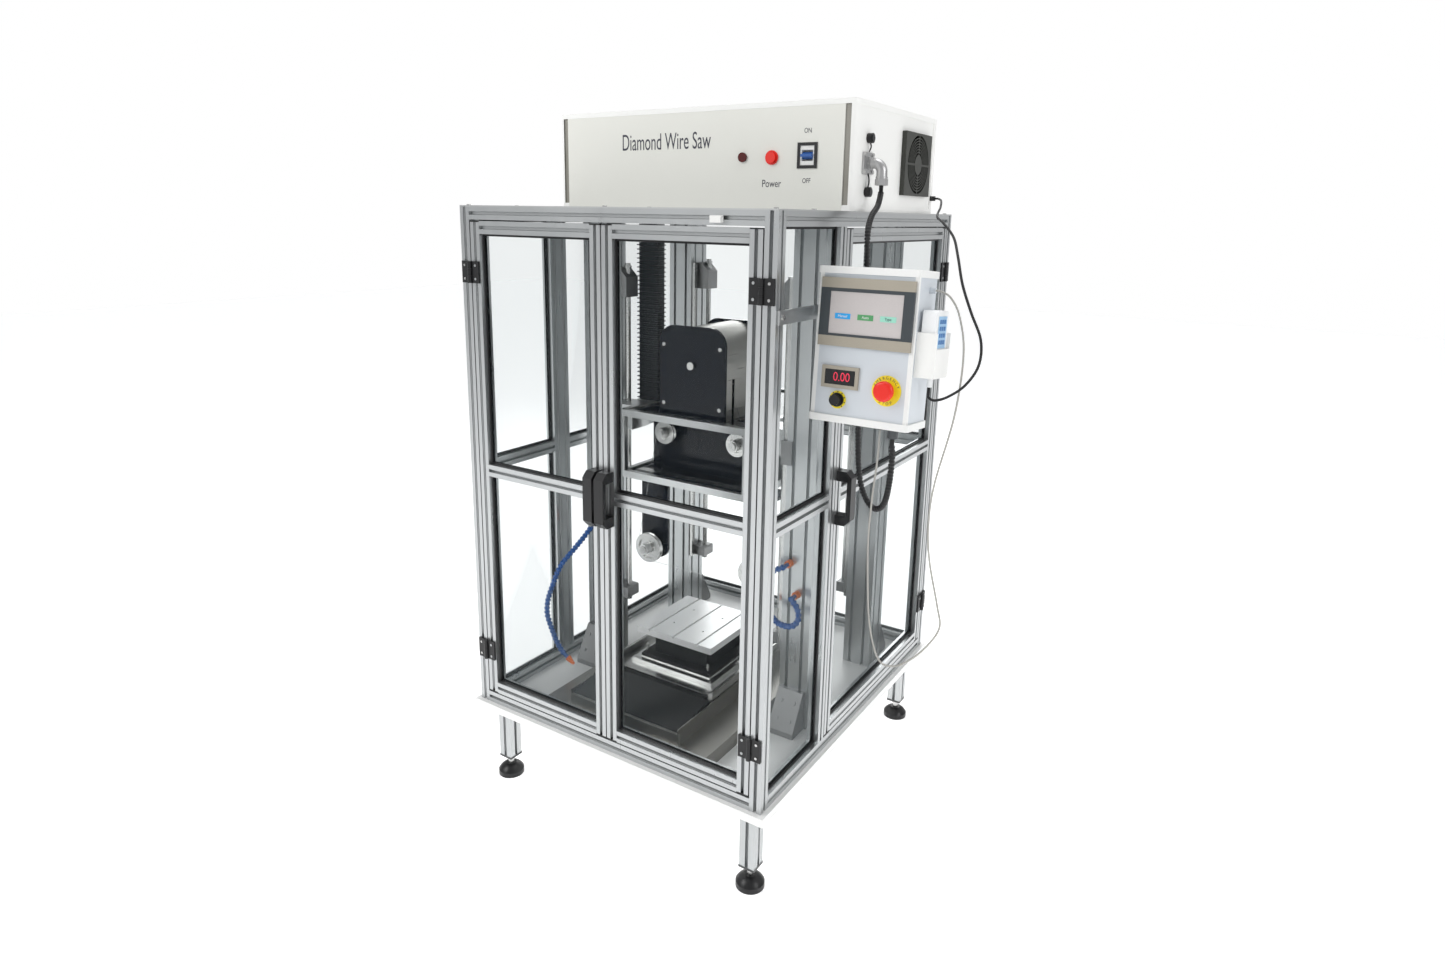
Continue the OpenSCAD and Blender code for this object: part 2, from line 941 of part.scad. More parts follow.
module at_columns() {
    at_left_columns() children();
    on_right() at_left_columns() children();
}

module column_brackets() {
    color("slategray") placed() {
        for (x = [column_in + column / 2, cab_w - column_in - column / 2]) {
            translate([x, column_front - joint_gap, 0]) foot_bracket();
            translate([x, column_rear + column + joint_gap, 0]) mirror([0, 1, 0]) foot_bracket();
        }
        at_columns() {
            bearing(bearing_z + bearing_h, bearing_h, bearing_bevel);
            bearing(low_bearing_z + low_bearing_h, low_bearing_h, low_bevel);
        }
        translate([right_face - limit_w / 2, column_front - joint_gap - limit_t, limit_z])
            cube([limit_w, limit_t, limit_h]);
    }
}

module gantry_columns() {
    color("gainsboro") placed()
        for (x = [column_in, right_face]) for (y = [column_front, column_rear])
            translate([x + column / 2, y + column / 2, 0]) linear_extrude(column_len) difference() {
                square(column, center = true);
                for (turn = [0 : 3]) rotate(turn * 90)
                    for (off = [-column_slot_off, column_slot_off])
                        translate([off, 0]) slot_cut(column, leg_slot_wide, column_slot_depth);
            }
}

module guide_rails() {
    length = bearing_z + bearing_h - low_bearing_z;
    color("silver") placed() {
        at_columns() translate([joint_gap, rail_in, low_bearing_z]) cube([rail_t, rail_w, length]);
        on_right() at_left_columns()
            translate([screw_off, screw_in, low_bearing_z]) cylinder(r = screw_r, h = length);
    }
}

module lead_screw(y) {
    low = low_bearing_z - screw_tail;
    top = bearing_z + bearing_h;
    color("silver") placed() translate([left_face + screw_off, y + screw_in, 0]) {
        translate([0, 0, low]) cylinder(r = screw_r, h = top + screw_tail - low);
        translate([0, 0, top + seat_gap]) cylinder(r = screw_cap_r, h = screw_cap_h);
    }
}

module front_screw() { lead_screw(column_front); }
module rear_screw() { lead_screw(column_rear); }

module hinge_leaves() {
    color("black") placed() post_hinges() fixed_leaf(1);
}

module left_door_frame() {
    placed() left_door_place() door_frame(front_door_w, -door_gap / 2, 1);
}

module left_door_panes() {
    placed() left_door_place() door_panes(front_door_w);
}

module left_door_trim() {
    placed() left_door_place()
        door_trim(front_door_w, -door_gap / 2, 1, front_door_w - profile / 2);
}

module right_door_frame() {
    placed() right_door_place() door_frame(front_door_w, front_door_w + door_gap / 2, -1);
}

module right_door_panes() {
    placed() right_door_place() door_panes(front_door_w);
}

module right_door_trim() {
    placed() right_door_place()
        door_trim(front_door_w, front_door_w + door_gap / 2, -1, profile / 2);
}

module side_door_frame() {
    placed() side_door_place() door_frame(side_door_w, side_door_w + door_gap / 2, -1);
}

module side_door_panes() {
    placed() side_door_place() door_panes(side_door_w);
}

module side_door_trim() {
    placed() side_door_place()
        door_trim(side_door_w, side_door_w + door_gap / 2, -1, profile / 2);
}

// electric case
module case_place() {
    placed() translate([case_x, case_front, case_z]) children();
}

module case_shell() {
    front_t = panel_t + joint_gap + case_wall;
    open_h = case_h - case_bar - case_corner;
    color("ivory") case_place() difference() {
        round_plate(case_w, case_d, case_h, case_corner);
        translate([case_wall + side_deep, front_t, case_wall])
            cube([case_w - 2 * case_wall - 2 * side_deep, case_d - front_t - case_wall,
                  case_h - 2 * case_wall]);
        translate([panel_in - joint_gap, -over, -over])
            cube([case_w - 2 * panel_in + 2 * joint_gap, panel_t + joint_gap + over,
                  case_h - case_bar + over]);
        translate([panel_in + panel_lap, -over, case_wall + panel_lap])
            cube([case_w - 2 * panel_in - 2 * panel_lap, front_t + 2 * over,
                  case_h - case_bar - case_wall - 2 * panel_lap]);
        for (x = [case_corner, case_w - case_corner - case_groove - over / 2])
            translate([x, -over, case_bar])
                cube([case_groove + over / 2, case_groove_deep + over, open_h]);
        for (x = [-over, case_w - side_deep]) translate([x, case_column, case_bar])
            cube([side_deep + over, case_d - 2 * case_column, open_h]);
        along_x(case_w - case_column, fan_y - case_front, fan_z - case_z)
            cylinder(r = fan_barrel_r + seat_gap, h = 2 * case_column);
        along_x(case_w - case_column, elbow_y - case_front, elbow_z - case_z)
            cylinder(r = elbow_r - case_wall / 2, h = 2 * case_column);
    }
}

module case_front_panel() {
    nose_w = breaker_nose_w + 2 * joint_gap;
    nose_h = breaker_nose_h + 2 * joint_gap;
    color("lightgray") case_place() difference() {
        translate([panel_in, 0, 0])
            cube([case_w - 2 * panel_in, panel_t, case_h - case_bar - joint_gap]);
        along_back(lamp_x - case_x, -over, lamp_z - case_z)
            cylinder(r = lamp_r - over + joint_gap, h = panel_t + 2 * over);
        along_back(button_x - case_x, -over, button_z - case_z)
            cylinder(r = button_r + seat_gap, h = panel_t + 2 * over);
        translate([breaker_x - case_x - nose_w / 2, -over, breaker_z - case_z - nose_h / 2])
            cube([nose_w, panel_t + 2 * over, nose_h]);
    }
}

// fan, with its axis along X
module fan_guard() {
    front = fan_out - guard_wire;
    color("darkslategray") placed() along_x(case_side, fan_y, fan_z) {
        difference() {
            translate([-fan_h / 2, -fan_w / 2, -side_deep + joint_gap])
                cube([fan_h, fan_w, fan_out + side_deep - joint_gap]);
            translate([0, 0, -fan_out]) cylinder(r = fan_bore_r, h = 3 * fan_out);
        }
        difference() {
            translate([0, 0, -fan_in]) cylinder(r = fan_barrel_r, h = fan_in);
            translate([0, 0, -fan_in - over]) cylinder(r = fan_bore_r, h = fan_in + 2 * over);
        }
        for (i = [1 : guard_rings]) translate([0, 0, front]) difference() {
            cylinder(r = fan_disc_r + i * guard_step + guard_wire / 2, h = guard_wire);
            translate([0, 0, -over]) cylinder(r = fan_disc_r + i * guard_step - guard_wire / 2,
                                              h = guard_wire + 2 * over);
        }
        for (turn = [0 : 3]) rotate([0, 0, turn * 90]) translate([0, -guard_wire, front])
            cube([fan_bore_r + over, 2 * guard_wire, guard_wire]);
        translate([0, 0, front - guard_wire]) cylinder(r = fan_disc_r, h = 2 * guard_wire);
        translate([0, 0, front - guard_wire - fan_hub_len])
            cylinder(r = fan_pin_r, h = fan_hub_len + guard_wire);
    }
}

module fan_rotor() {
    low = fan_out - 2 * guard_wire - seat_gap - fan_hub_len;
    color("black") placed() along_x(case_side, fan_y, fan_z) difference() {
        union() {
            translate([0, 0, low]) cylinder(r = fan_hub_r, h = fan_hub_len);
            for (i = [0 : fan_blades - 1]) rotate([0, 0, i * 360 / fan_blades])
                translate([0, 0, low + fan_hub_len / 2]) rotate([fan_blade_turn, 0, 0])
                    translate([fan_hub_r - over, -fan_blade_w / 2, -fan_blade_t / 2])
                        cube([fan_blade_reach - fan_hub_r, fan_blade_w, fan_blade_t]);
        }
        translate([0, 0, low - over]) cylinder(r = fan_pin_r + turn_fit, h = fan_hub_len + 2 * over);
    }
}

module panel_fittings() {
    nose_w = breaker_nose_w + 2 * joint_gap;
    nose_h = breaker_nose_h + 2 * joint_gap;
    color("black") placed() {
        along_back(lamp_x, case_front - lamp_out, lamp_z) {
            cylinder(r = lamp_r, h = lamp_out - joint_gap);
            cylinder(r = lamp_r - over, h = button_deep);
        }
        along_back(button_x, case_front - bezel_out, button_z) difference() {
            cylinder(r = bezel_r, h = bezel_out - joint_gap);
            translate([0, 0, -over]) cylinder(r = button_r + seat_gap, h = bezel_out + over);
        }
        along_back(breaker_x, case_front - breaker_out, breaker_z) difference() {
            translate([-breaker_w / 2, -breaker_h / 2, 0])
                cube([breaker_w, breaker_h, breaker_out - joint_gap]);
            translate([-nose_w / 2, -nose_h / 2, -over])
                cube([nose_w, nose_h, breaker_out + 2 * over]);
        }
        translate([breaker_x, case_front - breaker_nose_out, breaker_z]) difference() {
            translate([-breaker_nose_w / 2, 0, -breaker_nose_h / 2])
                cube([breaker_nose_w, breaker_deep, breaker_nose_h]);
            translate([-lever_w / 2 - seat_gap, -over, -lever_slot_h / 2])
                cube([lever_w + 2 * seat_gap, breaker_deep / 2, lever_slot_h]);
            along_x(-breaker_nose_w / 2 - over, lever_r, 0)
                cylinder(r = lever_pin_r + turn_fit, h = breaker_nose_w + 2 * over);
        }
        translate([catch_x, -catch_t, catch_z]) cube([catch_w, catch_t - joint_gap, catch_h]);
    }
}

module power_button() {
    color("red") placed() along_back(button_x, case_front - button_out, button_z)
        cylinder(r = button_r, h = button_out + button_deep);
}

module breaker_lever() {
    color("royalblue") placed()
        translate([breaker_x, case_front - breaker_nose_out + lever_r, breaker_z]) {
            along_x(-lever_w / 2, 0, 0) cylinder(r = lever_r - joint_gap, h = lever_w);
            along_x(-lever_w / 2 - lever_t / 2, 0, 0)
                cylinder(r = lever_pin_r, h = lever_w + lever_t);
            translate([-lever_w / 2, -lever_reach, -lever_t / 2])
                cube([lever_w, lever_reach, lever_t]);
        }
}

module elbow_fitting() {
    wall_x = case_side - side_deep + joint_gap;
    tip = case_side + elbow_out;
    low = elbow_z - elbow_drop + joint_gap;
    color("lightgray") placed() {
        difference() {
            union() {
                translate([wall_x, elbow_y - flange_w / 2, elbow_z - flange_h / 2])
                    cube([flange_t, flange_w, flange_h]);
                along_x(wall_x, elbow_y, elbow_z) cylinder(r = elbow_r, h = tip - wall_x);
                translate([tip, elbow_y, elbow_z]) sphere(r = elbow_r);
                translate([tip, elbow_y, low]) cylinder(r = elbow_r, h = elbow_drop);
                translate([tip, elbow_y, low]) cylinder(r = elbow_nut_r, h = elbow_nut_h, $fn = 6);
            }
            translate([tip, elbow_y, low - over]) cylinder(r = conduit_bore_r, h = elbow_drop);
        }
        along_x(case_side + joint_gap, gland_y, gland_z)
            cylinder(r = gland_r, h = gland_out - joint_gap);
    }
    color("black") placed() {
        for (z = [elbow_z + plug_up, elbow_z - plug_down])
            along_x(wall_x, elbow_y, z) cylinder(r = plug_r, h = plug_h);
        translate([wall_x + strap_r, elbow_y, elbow_z + flange_h / 2 + joint_gap])
            cylinder(r = strap_r, h = plug_up - flange_h / 2);
        translate([wall_x + strap_r, elbow_y, elbow_z - plug_down])
            cylinder(r = strap_r, h = plug_down - flange_h / 2 - joint_gap);
    }
}

// control box: its frame leans back about the bar's height, x and z from the box's low left corner
module box_place() {
    placed() translate([box_x, box_back, arm_z]) rotate([-box_lean, 0, 0])
        translate([0, -box_d, -box_low]) children();
}

module control_box() {
    color("lightsteelblue") box_place() difference() {
        union() {
            cube([box_w, box_d, box_h]);
            for (z = [-cap_h, box_h]) translate([-cap_over, -cap_over, z])
                round_plate(box_w + 2 * cap_over, box_d + 2 * cap_over, cap_h, cap_corner);
            translate([conduit_x, conduit_y, -cap_h - conduit_nut_h])
                cylinder(r = conduit_nut_r, h = conduit_nut_h + over);
            translate([signal_x, signal_y, -cap_h - signal_nut_h])
                cylinder(r = signal_nut_r, h = signal_nut_h + over);
            along_x(box_w - over, signal_y, signal_z)
                cylinder(r = signal_nut_r, h = signal_nut_h + over - joint_gap);
        }
        translate([box_wall, box_wall, 0])
            cube([box_w - 2 * box_wall, box_d - 2 * box_wall, box_h]);
        along_back(dial_x, -over, dial_z) cylinder(r = knob_stem_r + seat_gap, h = box_wall + 2 * over);
        along_back(stop_x, -over, stop_z) cylinder(r = stop_neck_r + seat_gap, h = box_wall + 2 * over);
    }
}

module control_bar() {
    color("silver") {
        placed() translate([cab_w + joint_gap, arm_start, arm_z - arm_h / 2])
            cube([arm_t, box_back - arm_start + arm_t / 2, arm_h]);
        box_place() translate([-box_off + joint_gap, box_d + joint_gap, box_low - arm_h / 2])
            cube([box_off + arm_end_w, arm_t, arm_h]);
    }
}

module touch_panel() {
    color("darkslategray") box_place() {
        difference() {
            translate([hmi_x, -hmi_t, hmi_z]) cube([hmi_w, hmi_t - joint_gap, hmi_h]);
            translate([hmi_x + screen_x, -hmi_t - over, hmi_z + screen_z])
                cube([screen_w, screen_deep + over, screen_h]);
        }
        difference() {
            translate([meter_x, -meter_t, meter_z]) cube([meter_w, meter_t - joint_gap, meter_h]);
            translate([meter_x + meter_rim, -meter_t - over, meter_z + meter_rim])
                cube([meter_w - 2 * meter_rim, meter_deep + over, meter_h - 2 * meter_rim]);
        }
    }
}

module dial_plates() {
    color("gold") box_place() {
        along_back(dial_x, -dial_t, dial_z) difference() {
            cylinder(r = dial_r, h = dial_t - joint_gap);
            translate([0, 0, -over]) cylinder(r = knob_stem_r + turn_fit, h = dial_t + 2 * over);
        }
        along_back(stop_x, -dial_t - stop_collar_h, stop_z) difference() {
            union() {
                cylinder(r = stop_collar_r, h = stop_collar_h + dial_t - joint_gap);
                translate([0, 0, stop_collar_h]) cylinder(r = stop_plate_r, h = dial_t - joint_gap);
            }
            translate([0, 0, -over])
                cylinder(r = stop_neck_r + seat_gap, h = stop_collar_h + dial_t + 2 * over);
        }
    }
}

module stop_button() {
    neck = stop_travel + stop_collar_h + dial_t + seat_gap;
    round_r = stop_cap_h / 2;
    color("red") box_place() along_back(stop_x, -neck - stop_cap_h, stop_z) {
        difference() {
            cylinder(r = stop_r, h = stop_cap_h);
            rotate_extrude() difference() {
                translate([stop_r - round_r, -over]) square([2 * round_r, round_r + over]);
                translate([stop_r - round_r, round_r]) circle(round_r);
            }
        }
        translate([0, 0, stop_cap_h - over]) cylinder(r = stop_neck_r, h = neck + stop_tail + over);
    }
}

module speed_knob() {
    color("black") box_place() along_back(dial_x, -dial_t - seat_gap - knob_h, dial_z) {
        cylinder(r = knob_r, h = knob_h);
        translate([0, 0, knob_h - knob_skirt_h]) cylinder(r = knob_skirt_r, h = knob_skirt_h);
        translate([-knob_mark / 2, -knob_r - knob_mark / 2, 0])
            cube([knob_mark, knob_mark, knob_h]);
        cylinder(r = knob_stem_r, h = knob_h + knob_stem_len);
    }
}

module handset_holder() {
    inner_w = handset_w + 2 * seat_gap;
    inner_x = (holder_t - handset_t) / 2;
    color("white") box_place() translate([box_w + joint_gap, holder_y, holder_z]) difference() {
        cube([holder_t, holder_w, holder_h]);
        translate([inner_x - seat_gap, (holder_w - inner_w) / 2, holder_floor])
            cube([handset_t + 2 * seat_gap, inner_w, holder_h]);
        translate([inner_x, (holder_w - inner_w) / 2, holder_h - holder_lip])
            cube([holder_t, inner_w, holder_lip + over]);
        translate([holder_t / 2, holder_w / 2, -over])
            cylinder(r = holder_hole_r, h = holder_floor + 2 * over);
    }
}

module handset() {
    inset = holder_y + (holder_w - handset_w) / 2;
    color("whitesmoke") box_place() translate([handset_x, inset, handset_z]) {
        along_x(0, 0, 0) translate([-handset_h, 0, 0])
            round_plate(handset_h, handset_w, handset_t, handset_corner);
        translate([handset_t - over, (handset_w - keypad_w) / 2, keypad_up])
            cube([keypad_t + over, keypad_w, keypad_h]);
        translate([handset_t / 2, handset_w / 2, -relief_h])
            cylinder(r = relief_r, h = relief_h + over);
    }
}

// head: two platforms, their posts and the blocks that run on the columns
module head_level(z, back) {
    for (x = [head_x, head_x + head_w - edge_w]) translate([x, head_front, z])
        cube([edge_w, back - head_front, edge_h]);
    for (y = [head_front, back - edge_w]) translate([head_x, y, z]) cube([head_w, edge_w, edge_h]);
}

module head_side() {
    block_w = head_x - left_face - rail_t - joint_gap - slide_fit;
    for (y = [column_front, column_rear]) difference() {
        translate([head_x - block_w, y + block_front, head_z + edge_h - block_h])
            cube([block_w + over, block_back, block_h]);
        translate([left_face + screw_off, y + screw_in, head_z - block_h])
            cylinder(r = screw_r + slide_fit, h = 2 * block_h);
    }
}

module head_frame() {
    color("lightgray") placed() {
        head_level(head_z, head_rear);
        head_level(low_level, shelf_back);
        for (x = [head_x, head_x + head_w - post_w]) for (y = [head_front, shelf_back - edge_w])
            translate([x, y, low_level + edge_h - over]) cube([post_w, edge_w, head_drop + 2 * over]);
        head_side();
        on_right() head_side();
        translate([chain_x, chain_y, head_z]) cube([head_x - chain_x + over, chain_t, edge_h]);
    }
}

module head_sheet(z, back, slot_x) {
    side = edge_w + joint_gap;
    difference() {
        translate([head_x + side, head_front + side, z + sheet_low])
            cube([head_w - 2 * side, back - head_front - 2 * side, sheet_t]);
        for (x = [-slot_x - wire_slot_w, slot_x]) translate([mid_x + x, wire_y - wire_slot_d / 2, z])
            cube([wire_slot_w, wire_slot_d, edge_h]);
    }
}

module drum_plate(y) {
    plate_h = drum_z - deck_z + cover_r + cover_t;
    difference() {
        translate([mid_x - drum_plate_w / 2, y + drum_plate_t, deck_z]) rotate([90, 0, 0])
            linear_extrude(drum_plate_t) {
                square([drum_plate_w, plate_h - drum_plate_r]);
                translate([drum_plate_r, 0]) square([drum_plate_w - 2 * drum_plate_r, plate_h]);
                for (x = [drum_plate_r, drum_plate_w - drum_plate_r])
                    translate([x, plate_h - drum_plate_r]) circle(drum_plate_r);
            }
        along_back(mid_x, y - over, drum_z)
            cylinder(r = shaft_r + turn_fit, h = drum_plate_t + 2 * over);
    }
}

// the pulley turns on this axle between the shoulder and the cap
module pulley_axle(x, z) {
    front = wire_y - pulley_w / 2 - hub_front - axle_cap_h;
    shoulder = wire_y + hub_back + seat_gap;
    along_back(x, front, z) {
        cylinder(r = axle_r, h = back_y - front + over);
        cylinder(r = axle_cap_r, h = axle_cap_h - joint_gap);
        translate([0, 0, shoulder - front])
            cylinder(r = axle_shoulder_r, h = back_y - shoulder + over);
    }
}

module lower_arm() {
    arm_x = mid_x - wire_span / 2 - arm_w / 2;
    arm_h = arm_top - lower_z + arm_low;
    translate([arm_x, back_y + back_t, lower_z - arm_low]) rotate([90, 0, 0]) linear_extrude(back_t) {
        translate([arm_corner, 0]) square([arm_w - 2 * arm_corner, arm_h]);
        translate([0, arm_corner]) square([arm_w, arm_h - arm_corner]);
        for (x = [arm_corner, arm_w - arm_corner]) translate([x, arm_corner]) circle(arm_corner);
    }
    translate([arm_x, back_y + back_t - over, arm_top - clamp_h]) cube([arm_w, clamp_d, clamp_h]);
    pulley_axle(mid_x - wire_span / 2, lower_z);
}

module drum_motor() {
    front = drum_y + 3 * drum_plate_t + drum_len;
    along_back(mid_x, front, drum_z) cylinder(r = motor_r, h = motor_len);
    translate([mid_x - motor_r, front, deck_z])
        cube([2 * motor_r, motor_len, drum_z - deck_z - motor_r / 2]);
}

module head_panels() {
    back_z = low_level + sheet_low + sheet_t + joint_gap;
    color("black") placed() {
        head_sheet(head_z, head_rear, upper_x);
        head_sheet(low_level, shelf_back, wire_span / 2 - wire_slot_w);
        translate([head_x + back_in, back_y, back_z])
            cube([head_w - 2 * back_in, back_t, head_z + sheet_low - joint_gap - back_z]);
        for (x = [-1, 1]) pulley_axle(mid_x + x * upper_x, upper_z);
        lower_arm();
        on_right() lower_arm();
        for (y = [drum_y, drum_y + drum_plate_t + drum_len]) drum_plate(y);
        drum_motor();
        for (x = [-1, 1]) for (z = [deck_z + drum_screw_up, drum_z + cover_r / 2])
            translate([mid_x + x * (drum_plate_w / 2 - roof_screw_in), drum_y - joint_gap, z])
                rotate([90, 0, 0]) button_screw(head_r, head_h);
    }
}

module drum_cover() {
    start = drum_y + drum_plate_t + joint_gap;
    color("silver") placed() translate([mid_x, start, drum_z]) difference() {
        along_back(0, 0, 0) linear_extrude(drum_len - 2 * joint_gap) difference() {
            union() {
                circle(cover_r, $fn = 96);
                translate([-cover_r, 0]) square([2 * cover_r, drum_z - deck_z - joint_gap]);
            }
            circle(cover_r - cover_t, $fn = 96);
            translate([-cover_r + cover_t, 0]) square([2 * (cover_r - cover_t), drum_rise]);
        }
        translate([-2 * cover_r, wire_y - start - cover_slot_w / 2, -drum_rise])
            cube([4 * cover_r, cover_slot_w, cover_slot_h]);
    }
}

module wire_drum() {
    width = drum_len - 2 * drum_face;
    color("silver") placed() {
        along_back(mid_x, drum_y + drum_plate_t + drum_face, drum_z) {
            cylinder(r = drum_r, h = width, $fn = 64);
            cylinder(r = flange_r, h = flange_thick, $fn = 64);
            translate([0, 0, width - flange_thick])
                cylinder(r = flange_r, h = flange_thick, $fn = 64);
        }
        along_back(mid_x, drum_y - drum_plate_t, drum_z)
            cylinder(r = shaft_r, h = drum_len + 4 * drum_plate_t - joint_gap);
    }
}

// guide pulley: rim with its groove, thin web, hub with its bore
module pulley(x, z, r) {
    inner = r - pulley_groove - pulley_rim;
    front = pulley_w / 2 + hub_front - seat_gap;
    color("silver") placed() translate([x, wire_y, z]) rotate([90, 0, 0])
        rotate_extrude($fn = 64) polygon([
            [axle_r + turn_fit, -hub_back], [hub_r, -hub_back], [hub_r, -pulley_web / 2],
            [inner, -pulley_web / 2], [inner, -pulley_w / 2], [r, -pulley_w / 2],
            [r, -pulley_w / 2 + pulley_lip], [r - pulley_groove, -wire_d],
            [r - pulley_groove, wire_d], [r, pulley_w / 2 - pulley_lip], [r, pulley_w / 2],
            [inner, pulley_w / 2], [inner, pulley_web / 2], [hub_r, pulley_web / 2],
            [hub_r, front], [axle_r + turn_fit, front]
        ]);
}

module upper_left_pulley() { pulley(mid_x - upper_x, upper_z, upper_pulley_r); }
module upper_right_pulley() { pulley(mid_x + upper_x, upper_z, upper_pulley_r); }
module lower_left_pulley() { pulley(mid_x - wire_span / 2, lower_z, lower_pulley_r); }
module lower_right_pulley() { pulley(mid_x + wire_span / 2, lower_z, lower_pulley_r); }

module wire_outline(grow) {
    hull() {
        translate([0, drum_z]) circle(drum_r + grow, $fn = 64);
        for (x = [-1, 1]) {
            translate([x * upper_x, upper_z]) circle(upper_pulley_r - pulley_groove + grow, $fn = 64);
            translate([x * wire_span / 2, lower_z]) circle(lower_pulley_r - pulley_groove + grow, $fn = 64);
        }
    }
}

module diamond_wire() {
    color("dimgray") placed() translate([mid_x, wire_y + wire_d / 2, 0]) rotate([90, 0, 0])
        linear_extrude(wire_d) difference() {
            wire_outline(seat_gap + wire_d);
            wire_outline(seat_gap);
        }
}

// folded cover of the head's cables
module cable_chain() {
    ribs = floor((chain_top - chain_low) / chain_pitch);
    step = (chain_top - chain_low) / ribs;
    color("black") placed() translate([chain_x, chain_y, chain_low]) rotate([90, 0, 90])
        linear_extrude(chain_w) polygon(concat(
            [for (i = [0 : ribs - 1]) each [[0, i * step], [chain_rib, (i + chain_share) * step]]],
            [[0, chain_top - chain_low], [chain_t, chain_top - chain_low]],
            [for (i = [ribs - 1 : -1 : 0])
                each [[chain_t - chain_rib, (i + chain_share) * step], [chain_t, i * step]]]
        ));
}

// stage
module stage_bed() {
    color("lightgray") placed() {
        translate([mid_x - bed_w / 2, bed_front, 0]) cube([bed_w, bed_len, bed_t]);
        for (x = [-slide_off, slide_off])
            translate([mid_x + x - slide_w / 2, bed_front + stage_front / 2, bed_t])
                cube([slide_w, bed_len - stage_front, slide_h]);
        translate([mid_x - stage_w / 2, stage_front, bed_t])
            cube([stage_w, front_plate_t, front_plate_h]);
        for (x = [mid_x - stage_w / 2, mid_x + stage_w / 2 - side_t])
            translate([x, stage_front, bed_t]) cube([side_t, bed_len - stage_front, side_h]);
    }
}

module stage_bellows() {
    front = stage_front + front_plate_t + joint_gap;
    length = bellows_rear - front;
    step = length / bellows_folds;
    climb = bellows_rise / bellows_folds;
    color("black") placed() translate([mid_x - bellows_w / 2, front, bed_t + slide_h + joint_gap])
        rotate([90, 0, 90]) linear_extrude(bellows_w) polygon(concat(
            [[0, 0]],
            [for (i = [0 : bellows_folds - 1]) each [
                [i * step, bellows_low - fold_h + i * climb],
                [(i + chain_share) * step, bellows_low + i * climb]
            ]],
            [[length, bellows_low - fold_h + bellows_rise], [length, 0]]
        ));
}

module stage_carriage() {
    cheek = (runner_w - slide_w) / 2 - slide_fit;
    color("gray") placed() {
        translate([mid_x - carriage_w / 2, table_y - carriage_len / 2, carriage_z])
            cube([carriage_w, carriage_len, carriage_t]);
        for (x = [-slide_off, slide_off])
            for (y = [table_y - carriage_len / 2, table_y + carriage_len / 2 - runner_len])
                for (edge = [-runner_w / 2, runner_w / 2 - cheek])
                    translate([mid_x + x + edge, y, carriage_z - runner_h])
                        cube([cheek, runner_len, runner_h + over]);
    }
}

module coolant_tray() {
    color("silver") placed() translate([mid_x - tray_w / 2, tray_front, tray_z]) difference() {
        round_plate(tray_w, tray_len, tray_h, tray_corner);
        translate([tray_rim, tray_rim, tray_t])
            round_plate(tray_w - 2 * tray_rim, tray_len - 2 * tray_rim, tray_h, tray_corner - tray_rim);
    }
}

module centred_plate(side, z, t) {
    translate([mid_x - side / 2, table_y - side / 2, z]) cube([side, side, t]);
}

module at_corners(off, z) {
    for (x = [-off, off]) for (y = [-off, off]) translate([mid_x + x, table_y + y, z]) children();
}

module table_block() {
    color("dimgray") placed() {
        centred_plate(low_plate, low_plate_z, low_plate_t);
        centred_plate(top_plate, top_plate_z, top_plate_t);
        centred_plate(block_side, block_z, table_z - table_t - joint_gap - block_z);
        at_corners(top_plate / 2 - jack_in, block_z) cylinder(r = jack_r, h = jack_h);
        at_corners(low_plate / 2 - head_r - over, low_plate_z + low_plate_t + joint_gap)
            button_screw(head_r, head_h);
    }
}

module work_table() {
    pitch = table_side * slot_pitch_share;
    color("whitesmoke") placed() difference() {
        centred_plate(table_side, table_z - table_t, table_t);
        for (i = [-(table_slots - 1) / 2 : (table_slots - 1) / 2])
            translate([mid_x + i * pitch - table_slot / 2, table_y - table_side / 2 - over,
                       table_z - slot_deep])
                cube([table_slot, table_side + 2 * over, slot_deep + over]);
        at_corners(hole_pitch / 2, table_z - hole_deep) cylinder(r = hole_r, h = hole_deep + over);
    }
}

module fasteners() {
    color("silver") placed() {
        post_hinges() leaf_screws(1);
        for (x = [roof_screw_in, mid_x, cab_w - roof_screw_in])
            for (y = [roof_screw_in, case_front / 2, cab_d - roof_screw_in])
                translate([x, y, cab_h + roof_t]) button_screw(head_r, head_h);
        along_x(cab_w + joint_gap + arm_t, arm_start + roof_screw_in, arm_z)
            button_screw(head_r, head_h);
        for (y = [-1, 1]) for (z = [-1, 1])
            along_x(case_side - side_deep + joint_gap + flange_t,
                    elbow_y + y * (flange_w / 2 - head_r), elbow_z + z * (flange_h / 2 - head_r))
                button_screw(head_r - over, head_h);
    }
}

// tubes along a route
function unit(v) = v / norm(v);

function curve_point(r, i, t) =
    let (a = r[i - 1], b = r[i], c = r[i + 1], d = r[i + 2])
    (2 * b + (c - a) * t + (2 * a - 5 * b + 4 * c - d) * t * t
        + (3 * b - a - 3 * c + d) * t * t * t) / 2;

// the first and last stretch stay straight
function smooth(r) = concat(
    [r[0]],
    [for (i = [1 : len(r) - 3]) for (s = [0 : curve_steps - 1]) curve_point(r, i, s / curve_steps)],
    [r[len(r) - 2], r[len(r) - 1]]
);

function run_lengths(p) = [
    for (i = 0, s = 0; i < len(p); i = i + 1, s = s + (i < len(p) ? norm(p[i] - p[i - 1]) : 0)) s
];

function axis_table(p, lengths, k) = [for (i = [0 : len(p) - 1]) [lengths[i], p[i][k]]];

